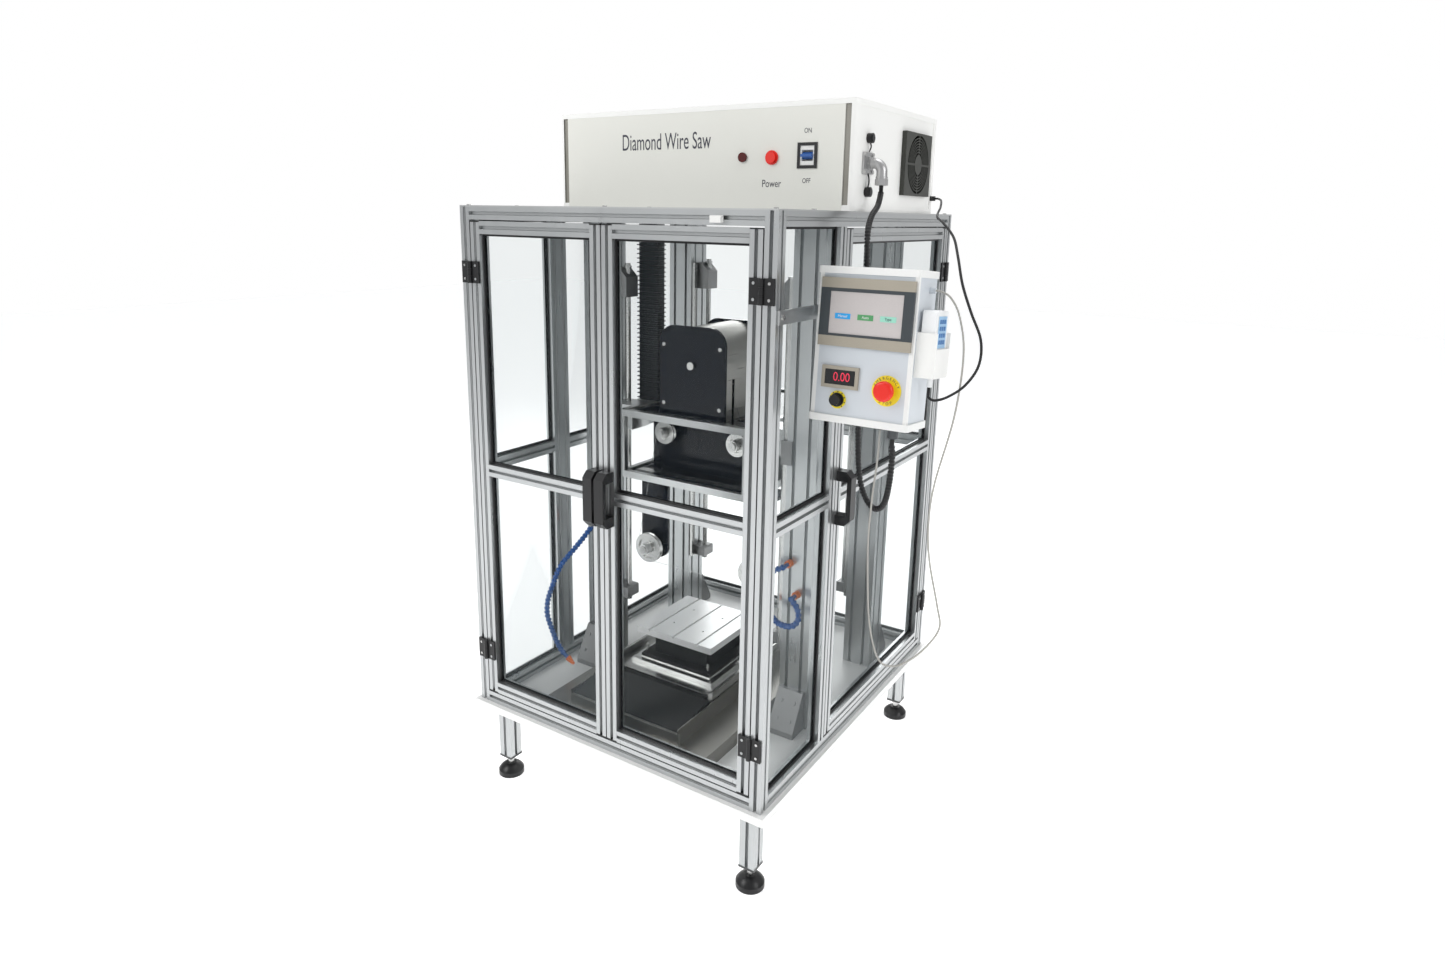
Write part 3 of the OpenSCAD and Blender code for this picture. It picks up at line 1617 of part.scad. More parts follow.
// centre and direction at each place along a path
function stations(p, places) =
    let (
        lengths = run_lengths(p),
        tx = axis_table(p, lengths, 0),
        ty = axis_table(p, lengths, 1),
        tz = axis_table(p, lengths, 2),
        last = lengths[len(lengths) - 1],
        reach = last / 400
    )
    [for (s = places)
        let (lo = max(s - reach, 0), hi = min(s + reach, last))
        [[lookup(s, tx), lookup(s, ty), lookup(s, tz)],
         unit([lookup(hi, tx) - lookup(lo, tx), lookup(hi, ty) - lookup(lo, ty),
               lookup(hi, tz) - lookup(lo, tz)])]];

function square_to(v, t) = unit(v - (v * t) * t);

function side_vectors(st) =
    let (first = abs(st[0][1][2]) < 0.9 ? [0, 0, 1] : [1, 0, 0])
    [for (i = 0, n = square_to(first, st[0][1]); i < len(st);
          i = i + 1, n = i < len(st) ? square_to(n, st[i][1]) : n) n];

function ring_points(st, sides, radii) = [
    for (i = [0 : len(st) - 1]) let (n = sides[i], b = cross(st[i][1], sides[i]))
        for (k = [0 : ring_sides - 1]) let (a = k * 360 / ring_sides)
            st[i][0] + radii[i] * (cos(a) * n + sin(a) * b)
];

function wall_faces(count, start, inward) = [
    for (i = [0 : count - 2]) for (k = [0 : ring_sides - 1])
        let (
            a = start + i * ring_sides + k,
            b = start + i * ring_sides + (k + 1) % ring_sides,
            c = a + ring_sides,
            d = b + ring_sides
        )
        each (inward ? [[a, b, c], [b, d, c]] : [[a, c, b], [b, c, d]])
];

function end_fan(start, first) = [
    for (k = [1 : ring_sides - 2])
        first ? [start, start + k, start + k + 1] : [start, start + k + 1, start + k]
];

function end_ring(outer, inner, first) = [
    for (k = [0 : ring_sides - 1])
        let (
            next = (k + 1) % ring_sides,
            a = outer + k, b = outer + next, c = inner + k, d = inner + next
        )
        each (first ? [[a, b, c], [b, d, c]] : [[a, c, b], [b, c, d]])
];

// plain round cord
module cord(route, r, rings) {
    path = smooth(route);
    length = run_lengths(path)[len(path) - 1];
    st = stations(path, [for (i = [0 : rings - 1]) length * i / (rings - 1)]);
    echo(cord_length = length);
    polyhedron(
        points = ring_points(st, side_vectors(st), [for (s = st) r]),
        faces = concat(wall_faces(rings, 0, false), end_fan(0, true),
                       end_fan((rings - 1) * ring_sides, false))
    );
}

// ribbed hose with its bore, straight for one diameter at both ends
module ribbed_hose(route, r, neck, bore, pitch) {
    path = smooth(route);
    length = run_lengths(path)[len(path) - 1];
    ribs = round((length - 4 * r) / pitch);
    step = (length - 4 * r) / ribs;
    bores = ceil(ribs / 2);
    places = concat([0], [for (i = [0 : 2 * ribs]) 2 * r + i * step / 2], [length]);
    radii = concat([neck], [for (i = [0 : 2 * ribs]) i % 2 == 0 ? neck : r], [neck]);
    outer_st = stations(path, places);
    inner_st = stations(path, [for (i = [0 : bores]) length * i / bores]);
    first = len(places) * ring_sides;
    echo(hose_length = length, ribs = ribs);
    polyhedron(
        points = concat(
            ring_points(outer_st, side_vectors(outer_st), radii),
            ring_points(inner_st, side_vectors(inner_st), [for (s = inner_st) bore])
        ),
        faces = concat(
            wall_faces(len(places), 0, false), wall_faces(bores + 1, first, true),
            end_ring(0, first, true),
            end_ring(first - ring_sides, first + bores * ring_sides, false)
        )
    );
}

module hose_ends(route) {
    last = route[len(route) - 1];
    d = unit(last - route[len(route) - 2]);
    translate(last) rotate([0, acos(d[2]), atan2(d[1], d[0])]) translate([0, 0, joint_gap])
        difference() {
            cylinder(r1 = nozzle_r, r2 = nozzle_tip_r, h = nozzle_len);
            translate([0, 0, -over]) cylinder(r = nozzle_tip_r / 2, h = nozzle_len + 2 * over);
        }
    translate([route[0][0], column_front - joint_gap, route[0][2]]) rotate([90, 0, 0])
        cylinder(r = hose_socket_r, h = column_front - 2 * joint_gap - route[0][1]);
}

module coolant_hoses() {
    placed() for (route = [left_hose_route, right_hose_route, low_hose_route]) {
        color("royalblue") ribbed_hose(route, bead_r, bead_neck_r, bead_bore_r, bead_pitch);
        color("orange") hose_ends(route);
    }
}

module conduit() {
    color("black") placed()
        ribbed_hose(conduit_route, conduit_r, conduit_neck_r, conduit_bore_r, conduit_pitch);
}

module handset_cable() {
    color("black") placed() cord(handset_cable_route, handset_cable_r, handset_cable_rings);
}

module signal_cable() {
    color("lightgray") placed() cord(signal_cable_route, signal_cable_r, signal_cable_rings);
}

floor_board();
frame_posts();
frame_rails();
fixed_panes();
pane_seals();
roof_plate();
legs();
levelling_feet();
column_brackets();
hinge_leaves();
case_shell();
case_front_panel();
fan_guard();
panel_fittings();
elbow_fitting();
control_box();
control_bar();
touch_panel();
dial_plates();
handset_holder();
handset();
gantry_columns();
guide_rails();
coolant_hoses();
conduit();
handset_cable();
signal_cable();
stage_bed();
stage_bellows();
cable_chain();
fan_rotor();
power_button();
breaker_lever();
stop_button();
speed_knob();
left_door_frame();
left_door_panes();
left_door_trim();
right_door_frame();
right_door_panes();
right_door_trim();
side_door_frame();
side_door_panes();
side_door_trim();
front_screw();
rear_screw();
head_frame();
head_panels();
drum_cover();
wire_drum();
upper_left_pulley();
upper_right_pulley();
lower_left_pulley();
lower_right_pulley();
diamond_wire();
stage_carriage();
coolant_tray();
table_block();
work_table();
fasteners();
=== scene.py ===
import math

import bmesh
import bpy
from mathutils import Matrix, Vector


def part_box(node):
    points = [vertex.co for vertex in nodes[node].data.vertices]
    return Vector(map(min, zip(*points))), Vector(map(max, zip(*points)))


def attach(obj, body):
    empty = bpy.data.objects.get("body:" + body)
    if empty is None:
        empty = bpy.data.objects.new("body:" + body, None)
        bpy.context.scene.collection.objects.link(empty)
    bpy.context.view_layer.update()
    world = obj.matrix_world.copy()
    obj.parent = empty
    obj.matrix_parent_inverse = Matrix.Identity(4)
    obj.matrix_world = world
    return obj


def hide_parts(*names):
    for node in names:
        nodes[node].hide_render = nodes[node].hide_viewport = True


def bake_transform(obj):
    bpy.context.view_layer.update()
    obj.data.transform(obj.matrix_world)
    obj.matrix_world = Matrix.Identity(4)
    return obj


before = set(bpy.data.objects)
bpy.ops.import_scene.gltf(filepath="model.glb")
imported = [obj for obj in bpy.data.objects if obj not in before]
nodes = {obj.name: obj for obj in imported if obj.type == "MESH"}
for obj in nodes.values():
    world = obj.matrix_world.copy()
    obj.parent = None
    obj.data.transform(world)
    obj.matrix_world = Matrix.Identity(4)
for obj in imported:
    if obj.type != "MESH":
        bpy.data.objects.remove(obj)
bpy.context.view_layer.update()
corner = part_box("frame_posts")[0]  # front left corner of the cabinet, on the board
mm = 0.001


def spot(x, y, z):
    return corner + Vector((x, y, z)) * mm  # from millimetres in the cabinet's own measure


# camera
shot = {"place": (1705.75, -1499.44, 1276.94), "turn": 0.5699, "dip": 0.2217, "roll": 0.0174,
        "lens": 22.235, "sensor": 36, "shiftX": 0.0023, "shiftY": -0.0442}


def placeCamera():
    turn, dip, roll = shot["turn"], shot["dip"], shot["roll"]
    ahead = Vector((-math.sin(turn) * math.cos(dip), math.cos(turn) * math.cos(dip), -math.sin(dip)))
    right = Vector((math.cos(turn), math.sin(turn), 0))
    up = right.cross(ahead)
    rolledRight = math.cos(roll) * right + math.sin(roll) * up
    rolledUp = math.cos(roll) * up - math.sin(roll) * right
    camera = bpy.data.objects.new("camera", bpy.data.cameras.new("camera"))
    bpy.context.scene.collection.objects.link(camera)
    matrix = Matrix((rolledRight, rolledUp, -ahead)).transposed().to_4x4()
    matrix.translation = spot(*shot["place"])
    camera.matrix_world = matrix
    camera.data.lens = shot["lens"]
    camera.data.sensor_width = shot["sensor"]
    camera.data.shift_x = shot["shiftX"]
    camera.data.shift_y = shot["shiftY"]
    bpy.context.scene.camera = camera


placeCamera()
print("camera placed")


# shader maths
class Field:
    def __init__(self, shade, socket):
        self.shade = shade
        self.socket = socket

    def maths(self, operation, *others):
        return self.shade.node("ShaderNodeMath", {"operation": operation}, [self, *others])

    def __add__(self, other):
        return self.maths("ADD", other)

    def __sub__(self, other):
        return self.maths("SUBTRACT", other)

    def __mul__(self, other):
        return self.maths("MULTIPLY", other)

    def __gt__(self, other):
        return self.maths("GREATER_THAN", other)

    def __lt__(self, other):
        return self.maths("LESS_THAN", other)

    def __rsub__(self, other):
        return self.shade.node("ShaderNodeMath", {"operation": "SUBTRACT"}, [other, self])

    __radd__ = __add__
    __rmul__ = __mul__


class Shade:
    def __init__(self, made, end="Principled BSDF"):
        made.use_nodes = True
        self.made = made
        self.tree = made.node_tree
        self.surface = self.tree.nodes[end]

    def node(self, kind, settings, values, output=0):
        made = self.tree.nodes.new(kind)
        for key, value in settings.items():
            if key == "stops":
                for stop, tone in zip(made.color_ramp.elements, value):
                    stop.color = tone
            else:
                setattr(made, key, value)
        pairs = values.items() if isinstance(values, dict) else enumerate(values)
        for key, value in pairs:
            if isinstance(value, Field):
                self.tree.links.new(value.socket, made.inputs[key])
            else:
                made.inputs[key].default_value = value
        return Field(self, made.outputs[output])

    def place(self, turn=None):
        where = self.node("ShaderNodeTexCoord", {}, {}, "Object")
        if turn is None:
            return where
        pivot, angle = turn
        moved = -(Matrix.Rotation(angle, 3, "X") @ pivot)
        return self.node("ShaderNodeMapping", {}, {0: where, 1: moved, 2: (angle, 0, 0)})

    def mix(self, mask, first, second):
        return self.node("ShaderNodeMix", {"data_type": "RGBA"}, {0: mask, 6: first, 7: second}, 2)

    def feed(self, name, value):
        if isinstance(value, Field):
            self.tree.links.new(value.socket, self.surface.inputs[name])
        else:
            self.surface.inputs[name].default_value = value


looks = {  # colour, metallic, roughness
    "extrusion": ((0.5, 0.515, 0.52), 0.9, 0.3),
    "machined": ((0.56, 0.57, 0.57), 0.9, 0.3),
    "tableTop": ((0.9, 0.9, 0.9), 0.6, 0.35),
    "steel": ((0.6, 0.6, 0.59), 1.0, 0.25),
    "castMetal": ((0.5, 0.5, 0.5), 0.9, 0.34),
    "darkBracket": ((0.27, 0.27, 0.27), 0.8, 0.38),
    "stageGrey": ((0.3, 0.29, 0.27), 0.8, 0.36),
    "frontPlate": ((0.42, 0.41, 0.39), 0.8, 0.36),
    "brushed": ((0.4, 0.39, 0.37), 1.0, 0.34),
    "whiteBoard": ((0.9, 0.9, 0.89), 0.0, 0.35),
    "caseWhite": ((0.86, 0.86, 0.84), 0.0, 0.4),
    "panelGrey": ((0.74, 0.74, 0.69), 0.0, 0.42),
    # painted shade: dark colour laid into the case's corner grooves where shade falls
    "grooveShade": ((0.2, 0.19, 0.16), 0.3, 0.4),
    "fanBlack": ((0.032, 0.034, 0.028), 0.1, 0.4),
    "blackPlastic": ((0.01, 0.01, 0.011), 0.0, 0.32),
    "matteBlack": ((0.02, 0.02, 0.021), 0.0, 0.6),
    "glossBlack": ((0.004, 0.006, 0.012), 0.0, 0.1),
    "boxBlue": ((0.62, 0.66, 0.7), 0.1, 0.35),
    "trimWhite": ((0.86, 0.86, 0.84), 0.0, 0.35),
    "bezel": ((0.045, 0.055, 0.062), 0.0, 0.3),
    "beige": ((0.42, 0.38, 0.31), 0.2, 0.4),
    "screen": ((0.6, 0.56, 0.55), 0.0, 0.25),
    "skyButton": ((0.02, 0.36, 0.8), 0.0, 0.3),
    "leafButton": ((0.09, 0.33, 0.13), 0.0, 0.3),
    "mintButton": ((0.33, 0.68, 0.55), 0.0, 0.3),
    "displayBlack": ((0.006, 0.006, 0.007), 0.0, 0.15),
    "yellow": ((0.9, 0.72, 0.02), 0.0, 0.3),
    "red": ((0.8, 0.02, 0.01), 0.0, 0.25),
    "digitRed": ((1.0, 0.04, 0.1), 0.0, 0.4),
    "lampRed": ((0.09, 0.006, 0.006), 0.0, 0.12),
    "hoseBlue": ((0.004, 0.09, 0.36), 0.0, 0.35),
    "orange": ((0.95, 0.2, 0.02), 0.0, 0.4),
    "leverBlue": ((0.02, 0.1, 0.36), 0.0, 0.3),
    "keyBlue": ((0.3, 0.52, 0.76), 0.0, 0.4),
    "keyDark": ((0.03, 0.16, 0.42), 0.0, 0.4),
    "ink": ((0.03, 0.03, 0.05), 0.0, 0.5),
    "cableGrey": ((0.42, 0.41, 0.38), 0.0, 0.5),
    "handsetWhite": ((0.84, 0.85, 0.86), 0.0, 0.4),
    "fold": ((0.018, 0.021, 0.026), 0.0, 0.45),
}
dull = {"glossBlack": 0.22, "blackPlastic": 0.4, "fold": 0.35, "matteBlack": 0.3}  # weaker gloss
surface = {"grain": 0.08, "stretch": (420, 420, 420), "detail": 3.0, "cloudScale": 9.0, "cloudDetail": 2.0,
           "cloudRough": 0.08, "cloudTone": 0.2, "grainTone": 0.1, "worn": 0.85}
finishes = {}


def colour(name):
    return (*looks[name][0], 1)


def finish(base, patches=(), turn=None, grain=surface["grain"], stretch=surface["stretch"]):
    # patches are (low corner, high corner, look) boxes in object metres, the later on top
    plain = not patches and grain == surface["grain"]
    key = base if plain else f"{base}_{len(finishes)}"
    if key in finishes:
        return finishes[key]
    shade = Shade(bpy.data.materials.new(key))
    tone, metal, rough = colour(base), looks[base][1], looks[base][2]
    if patches:
        where = shade.node("ShaderNodeSeparateXYZ", {}, [shade.place(turn)])
        parts = [Field(shade, where.socket.node.outputs[k]) for k in range(3)]
        for low, high, look in patches:
            mask = 1.0
            for part, least, most in zip(parts, low, high):
                mask = mask * (part > least) * (part < most)
            tone = shade.mix(mask, tone, colour(look))
            metal = metal + mask * (looks[look][1] - metal)
            rough = rough + mask * (looks[look][2] - rough)
    spread = shade.node("ShaderNodeMapping", {}, {0: shade.place(), 3: stretch})
    fine = shade.node("ShaderNodeTexNoise", {}, {"Vector": spread, "Scale": 1.0, "Detail": surface["detail"]})
    cloud = shade.node("ShaderNodeTexNoise", {}, {
        "Vector": shade.place(), "Scale": surface["cloudScale"], "Detail": surface["cloudDetail"]})
    rough = rough + (fine - 0.5) * grain + (cloud - 0.5) * surface["cloudRough"]
    worn = (*(v * surface["worn"] for v in looks[base][0]), 1)
    tone = shade.mix(cloud * surface["cloudTone"] + (fine - 0.5) * surface["grainTone"], tone, worn)
    if base in dull:
        shade.feed("Specular IOR Level", dull[base])
    shade.feed("Base Color", tone)
    shade.feed("Metallic", metal)
    shade.feed("Roughness", rough)
    finishes[key] = shade.made
    return shade.made


pane = {"tint": (0.16, 0.19, 0.2, 1), "rough": 0.02, "through": (0.985, 0.992, 0.992, 1), "blend": 0.25,
        "rim": 0.16, "haze": 0.015}


def clearPane():
    shade = Shade(bpy.data.materials.new("clearPane"))
    shade.feed("Base Color", pane["tint"])
    shade.feed("Roughness", pane["rough"])
    gloss = Field(shade, shade.surface.outputs[0])
    see = shade.node("ShaderNodeBsdfTransparent", {}, {"Color": pane["through"]})
    edge = shade.node("ShaderNodeLayerWeight", {}, {"Blend": pane["blend"]}, "Fresnel")
    both = shade.node("ShaderNodeMixShader", {}, [edge * pane["rim"] + pane["haze"], see, gloss])
    shade.tree.links.new(both.socket, shade.tree.nodes["Material Output"].inputs[0])
    return shade.made


def dress(look, *names, **more):
    made = finish(look, **more) if isinstance(look, str) else look
    for name in names:
        mesh = nodes[name].data
        mesh.materials.clear()
        mesh.materials.append(made)
        for face in mesh.polygons:
            face.material_index = 0


# cords and hoses
routes = {
    "ribbedConduit": [
        (895, 417, 1350), (895, 417, 1334), (903, 385, 1306), (914, 330, 1284), (925, 289, 1255),
        (932, 274, 1205), (938, 270, 1120), (939, 266, 1000), (939, 258, 900), (947, 245, 800),
        (963, 225, 735), (988, 205, 696), (1018, 188, 682), (1044, 172, 704), (1058, 159, 760),
        (1062, 153, 812), (1061, 151, 834), (1061, 152, 848)],
    "handsetCable": [
        (873, 830, 1332), (880, 830, 1332), (902, 795, 1326), (935, 700, 1308), (975, 570, 1292),
        (1018, 450, 1282), (1062, 360, 1272), (1110, 290, 1244), (1145, 220, 1208), (1172, 175, 1160),
        (1197, 160, 1110), (1220, 158, 1060), (1220, 158, 1012), (1198, 156, 972), (1168, 153, 947),
        (1144, 150, 937), (1131, 149, 941), (1130, 149, 951), (1130, 150, 961)],
    "signalCable": [
        (1122, 175, 1145), (1128, 175, 1145), (1152, 172, 1134), (1174, 168, 1098), (1188, 164, 1027),
        (1179, 165, 907), (1148, 170, 765), (1140, 175, 680), (1145, 180, 601), (1167, 185, 503),
        (1174, 190, 455), (1152, 195, 408), (1116, 195, 363), (1076, 195, 334), (1044, 190, 345),
        (1022, 185, 420), (1015, 178, 520), (1014, 170, 622), (1022, 160, 720), (1031, 154, 800),
        (1033, 152, 852), (1033, 153, 862)],
    "leftHose": [
        (112, 340, 409), (112, 322, 409), (104, 304, 388), (82, 282, 350), (66, 250, 313),
        (56, 225, 262), (56, 203, 221), (64, 191, 186), (80, 187, 155), (102, 184, 120),
        (126, 182, 94), (148, 181, 82)],
    "rightHose": [(735, 340, 440), (735, 323, 440), (712, 311, 429), (685, 303, 415), (664, 300, 405)],
    "lowHose": [
        (758, 340, 362), (758, 322, 362), (780, 312, 347), (789, 304, 323), (779, 297, 306),
        (757, 296, 300), (732, 300, 302), (708, 310, 311), (690, 318, 320)],
}
cords = {
    "ribbedConduit": {"node": "conduit", "r": 6.6, "neck": 4.7, "pitch": 7.7, "length": 0.9779,
                      "look": "blackPlastic", "slot": "black_plastic"},
    "handsetCable": {"node": "handset_cable", "r": 2.6, "length": 1.0723, "look": "matteBlack",
                     "slot": "seal_rubber"},
    "signalCable": {"node": "signal_cable", "r": 2.0, "length": 1.4498, "look": "cableGrey",
                    "slot": "grey_cable"},
}
ribShape = ((0.0, "neck"), (0.22, "full"), (0.62, "full"), (0.84, "neck"))  # share of the pitch, width there
hoses = {"r": 8.0, "neck": 5.2, "pitch": 11.0, "tip": 4.0, "mouth": 8.5, "reach": 24.0, "steps": 8,
         "column": 355, "stub": 9.5}


def curvePoint(a, b, c, d, t):  # on a smooth line from b to c
    return (2 * b + (c - a) * t + (2 * a - 5 * b + 4 * c - d) * t * t
            + (3 * b - a - 3 * c + d) * t ** 3) / 2


def smoothRoute(name):
    r = [spot(*point) for point in routes[name]]
    path = [r[0]]
    for i in range(1, len(r) - 2):
        for s in range(hoses["steps"]):
            path.append(curvePoint(r[i - 1], r[i], r[i + 1], r[i + 2], s / hoses["steps"]))
    return path + [r[-2], r[-1]]


def along(path, places):  # points at these lengths from the path's start
    spots, run, i = [], 0.0, 0
    for place in places:
        while i < len(path) - 2 and run + (path[i + 1] - path[i]).length < place:
            run += (path[i + 1] - path[i]).length
            i += 1
        step = path[i + 1] - path[i]
        spots.append(path[i] + step * min(1.0, (place - run) / step.length))
    return spots


def tube(name, path, r, widths, look, sides=5):
    curve = bpy.data.curves.new(name, "CURVE")
    curve.dimensions = "3D"
    curve.bevel_depth = r
    curve.bevel_resolution = sides
    curve.use_fill_caps = True
    spline = curve.splines.new("POLY")
    spline.points.add(len(path) - 1)
    for point, place, width in zip(spline.points, path, widths):
        point.co = (*place, 1)
        point.radius = width
    spline.use_smooth = True
    curve.materials.append(finish(look))
    made = bpy.data.objects.new(name, curve)
    bpy.context.scene.collection.objects.link(made)
    return made


def ribs(path, r, neck, pitch):
    long = sum((b - a).length for a, b in zip(path, path[1:]))
    ends = 2 * r  # plain length at each end
    count = round((long - 2 * ends) / pitch)
    step = (long - 2 * ends) / count
    share = {"neck": neck / r, "full": 1.0}
    places, widths = [0.0], [share["neck"]]
    for i in range(count):
        for part, width in ribShape:
            places.append(ends + (i + part) * step)
            widths.append(share[width])
    return along(path, places + [long - ends, long]), widths + [share["neck"]] * 2


def layCords():
    for name, facts in cords.items():
        path, r = smoothRoute(name), facts["r"] * mm
        widths = [1.0] * len(path)
        if "pitch" in facts:
            path, widths = ribs(path, r, facts["neck"] * mm, facts["pitch"] * mm)
        cord = tube(name, path, r, widths, facts["look"])
        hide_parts(facts["node"])
        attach(cord, "cabinet")
        2 * r


layCords()
print("cords laid")

# small modelling helpers
joinGap = 0.002 * mm
letterThick = 0.1 * mm


def piece(name, mesh, look, body="cabinet"):
    data = bpy.data.meshes.new(name)
    bmesh.ops.recalc_face_normals(mesh, faces=mesh.faces)
    mesh.to_mesh(data)
    mesh.free()
    made = bpy.data.objects.new(name, data)
    bpy.context.scene.collection.objects.link(made)
    data.materials.append(finish(look))
    if body:
        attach(made, body)
    return made


def block(mesh, low, high, soft=0.0, turn=Matrix()):
    low, high = Vector(low), Vector(high)
    move = Matrix.Translation((low + high) / 2) @ Matrix.Diagonal((*(high - low), 1))
    made = bmesh.ops.create_cube(mesh, size=1, matrix=turn @ move)["verts"]
    if soft:
        edges = list({edge for vert in made for edge in vert.link_edges})
        bmesh.ops.bevel(mesh, geom=edges, offset=soft, segments=3, affect="EDGES", profile=0.5, material=-1)


def drum(mesh, middle, r, depth, axis="Z", sides=32, tip=None):
    if isinstance(axis, str):
        axis = {"X": Matrix.Rotation(math.pi / 2, 4, "Y"), "Y": Matrix.Rotation(math.pi / 2, 4, "X"),
                "Z": Matrix()}[axis]
    bmesh.ops.create_cone(mesh, cap_ends=True, segments=sides, radius1=r, radius2=r if tip is None else tip,
                          depth=depth, matrix=Matrix.Translation(middle) @ axis)


def lettering(name, words, height, middle, look, turn=Matrix(), squeeze=1.0):
    font = bpy.data.curves.new(name, "FONT")
    font.body = words
    font.size = height * mm
    font.extrude = letterThick
    font.align_x = "CENTER"
    font.align_y = "CENTER"
    carrier = bpy.data.objects.new(name + "Font", font)
    bpy.context.scene.collection.objects.link(carrier)
    bpy.context.view_layer.update()
    flat = bpy.data.meshes.new_from_object(carrier.evaluated_get(bpy.context.evaluated_depsgraph_get()))
    bpy.data.objects.remove(carrier)
    upright = Matrix.Rotation(math.pi / 2, 4, "X") @ Matrix.Diagonal((squeeze, 1, 1, 1))
    flat.transform(Matrix.Translation(middle) @ turn @ upright)
    mesh = bmesh.new()
    mesh.from_mesh(flat)
    bmesh.ops.remove_doubles(mesh, verts=mesh.verts, dist=joinGap)
    return piece(name, mesh, look)


# coolant hoses with their bright ends
def coolantHoses():
    r = hoses["r"] * mm
    reach = hoses["reach"] * mm
    for name in ("leftHose", "rightHose", "lowHose"):
        smooth = smoothRoute(name)
        path, widths = ribs(smooth, r, hoses["neck"] * mm, hoses["pitch"] * mm)
        hose = tube(name, path, r, widths, "hoseBlue")
        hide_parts("coolant_hoses")
        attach(hose, "cabinet")
        ends = bmesh.new()
        way = (smooth[-1] - smooth[-2]).normalized()
        turn = way.to_track_quat("Z", "Y").to_matrix().to_4x4()
        drum(ends, smooth[-1] + way * reach / 2, hoses["mouth"] * mm, reach, turn, tip=hoses["tip"] * mm)
        start, front = smooth[0], spot(0, hoses["column"], 0).y
        middle = Vector((start.x, (start.y + front) / 2, start.z))
        drum(ends, middle, hoses["stub"] * mm, front - start.y, "Y")
        piece(name + "Ends", ends, "orange")


coolantHoses()
print("hoses made")

# folding pieces, the cable chain and the stage bellows: on the machine one end stays on the cabinet and the
# other goes with the head or the stage; here each is one fixed mesh on no body
chain = {"left": 190, "right": 264, "front": 439, "deep": 34, "low": 775.2, "top": 1289.8, "links": 43,
         "inset": (6, 3), "gap": 0.3, "rib": (0.5, 2, 4, 6.6), "pad": (18, 1.5, 4, 8, 10),
         "middle": (227, 455)}


def cableChain():
    left, right, front, back = chain["left"], chain["right"], chain["front"], chain["front"] + chain["deep"]
    pitch = (chain["top"] - chain["low"]) / chain["links"]
    inX, inY = chain["inset"]
    ribFront, ribBack, ribLow, ribTop = chain["rib"]
    padIn, padFront, padBack, padLow, padTop = chain["pad"]
    links = bmesh.new()
    for i in range(chain["links"]):
        z = chain["low"] + i * pitch
        block(links, spot(left + inX, front + inY, z + chain["gap"]),
              spot(right - inX, back, z + pitch - chain["gap"]))
        block(links, spot(left, front + ribFront, z + ribLow), spot(right, back - ribBack, z + ribTop))
        block(links, spot(left + padIn, front + padFront, z + padLow),
              spot(right - padIn, front + padBack, z + padTop))
    made = piece("chainLinks", links, "fold", None)
    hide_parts("cable_chain")
    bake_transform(made)


def stageBellows():
    folds = bmesh.new()
    folds.from_mesh(nodes["stage_bellows"].data)
    bmesh.ops.remove_doubles(folds, verts=folds.verts, dist=joinGap)
    made = piece("bellowsFolds", folds, "matteBlack", None)
    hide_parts("stage_bellows")
    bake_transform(made)


cableChain()
stageBellows()
print("folding pieces made")

# pipe elbow on the case, its loose caps on straps and the cable gland
elbow = {"y": 417, "z": 1398, "r": 12, "bend": 19, "tip": 895, "low": 1350.2, "wall": 858.2, "lead": 3,
         "plate": (4, 54, 48), "soft": 1.2, "screwAt": (20, 17), "screw": (4, 2.4), "collar": (15.5, 8),
         "nut": (14.6, 14), "ring": (13.6, 3), "capsAt": (1452, 1336), "cap": (11, 12), "capStep": 3,
         "capOut": 6, "glandAt": (866.4, 830, 1332), "gland": (7, 12.4)}
straps = {"upperStrap": (1423, 1446, 3), "lowerStrap": (1342, 1376, -6)}  # from, to, bow
strapLine = {"r": 1.6, "out": 3.5, "steps": 8}


def elbowPipe():
    middle = (elbow["tip"] - elbow["bend"], elbow["z"] - elbow["bend"])
    run = [(elbow["wall"] + elbow["lead"], elbow["z"])]
    for degrees in range(0, 91, 9):
        a = math.radians(degrees)
        run.append((middle[0] + elbow["bend"] * math.sin(a), middle[1] + elbow["bend"] * math.cos(a)))
    run.append((elbow["tip"], elbow["low"]))
    path = [spot(x, elbow["y"], z) for x, z in run]
    return tube("elbowPipe", path, elbow["r"] * mm, [1.0] * len(path), "castMetal", 8)


def elbowBody():
    wall, y, z = elbow["wall"], elbow["y"], elbow["z"]
    thick, wide, tall = elbow["plate"]
    body = bmesh.new()
    block(body, spot(wall, y - wide / 2, z - tall / 2), spot(wall + thick, y + wide / 2, z + tall / 2),
          elbow["soft"] * mm)
    screwR, screwDeep = elbow["screw"]
    screwY, screwZ = elbow["screwAt"]
    for side in (-1, 1):
        for level in (-1, 1):
            head = spot(wall + thick + screwDeep / 2, y + side * screwY, z + level * screwZ)
            drum(body, head, screwR * mm, screwDeep * mm, "X")
    collarR, collarDeep = elbow["collar"]
    drum(body, spot(wall + collarDeep, y, z), collarR * mm, collarDeep * mm, "X", 6)
    nutR, nutDeep = elbow["nut"]
    ringR, ringDeep = elbow["ring"]
    drum(body, spot(elbow["tip"], y, elbow["low"] + nutDeep / 2), nutR * mm, nutDeep * mm, "Z", 6)
    drum(body, spot(elbow["tip"], y, elbow["low"] + nutDeep + ringDeep), ringR * mm, ringDeep * mm)
    return piece("elbowFitting", body, "castMetal")


def elbowCaps():
    caps = bmesh.new()
    capR, capDeep = elbow["cap"]
    for z in elbow["capsAt"]:
        middle = spot(elbow["wall"] + elbow["capOut"], elbow["y"], z)
        drum(caps, middle, capR * mm, capDeep * mm, "X")
        drum(caps, middle, (capR - elbow["capStep"]) * mm, (capDeep + elbow["capStep"]) * mm, "X")
    drum(caps, spot(*elbow["glandAt"]), elbow["gland"][0] * mm, elbow["gland"][1] * mm, "X", 6)
    return piece("elbowCaps", caps, "blackPlastic")


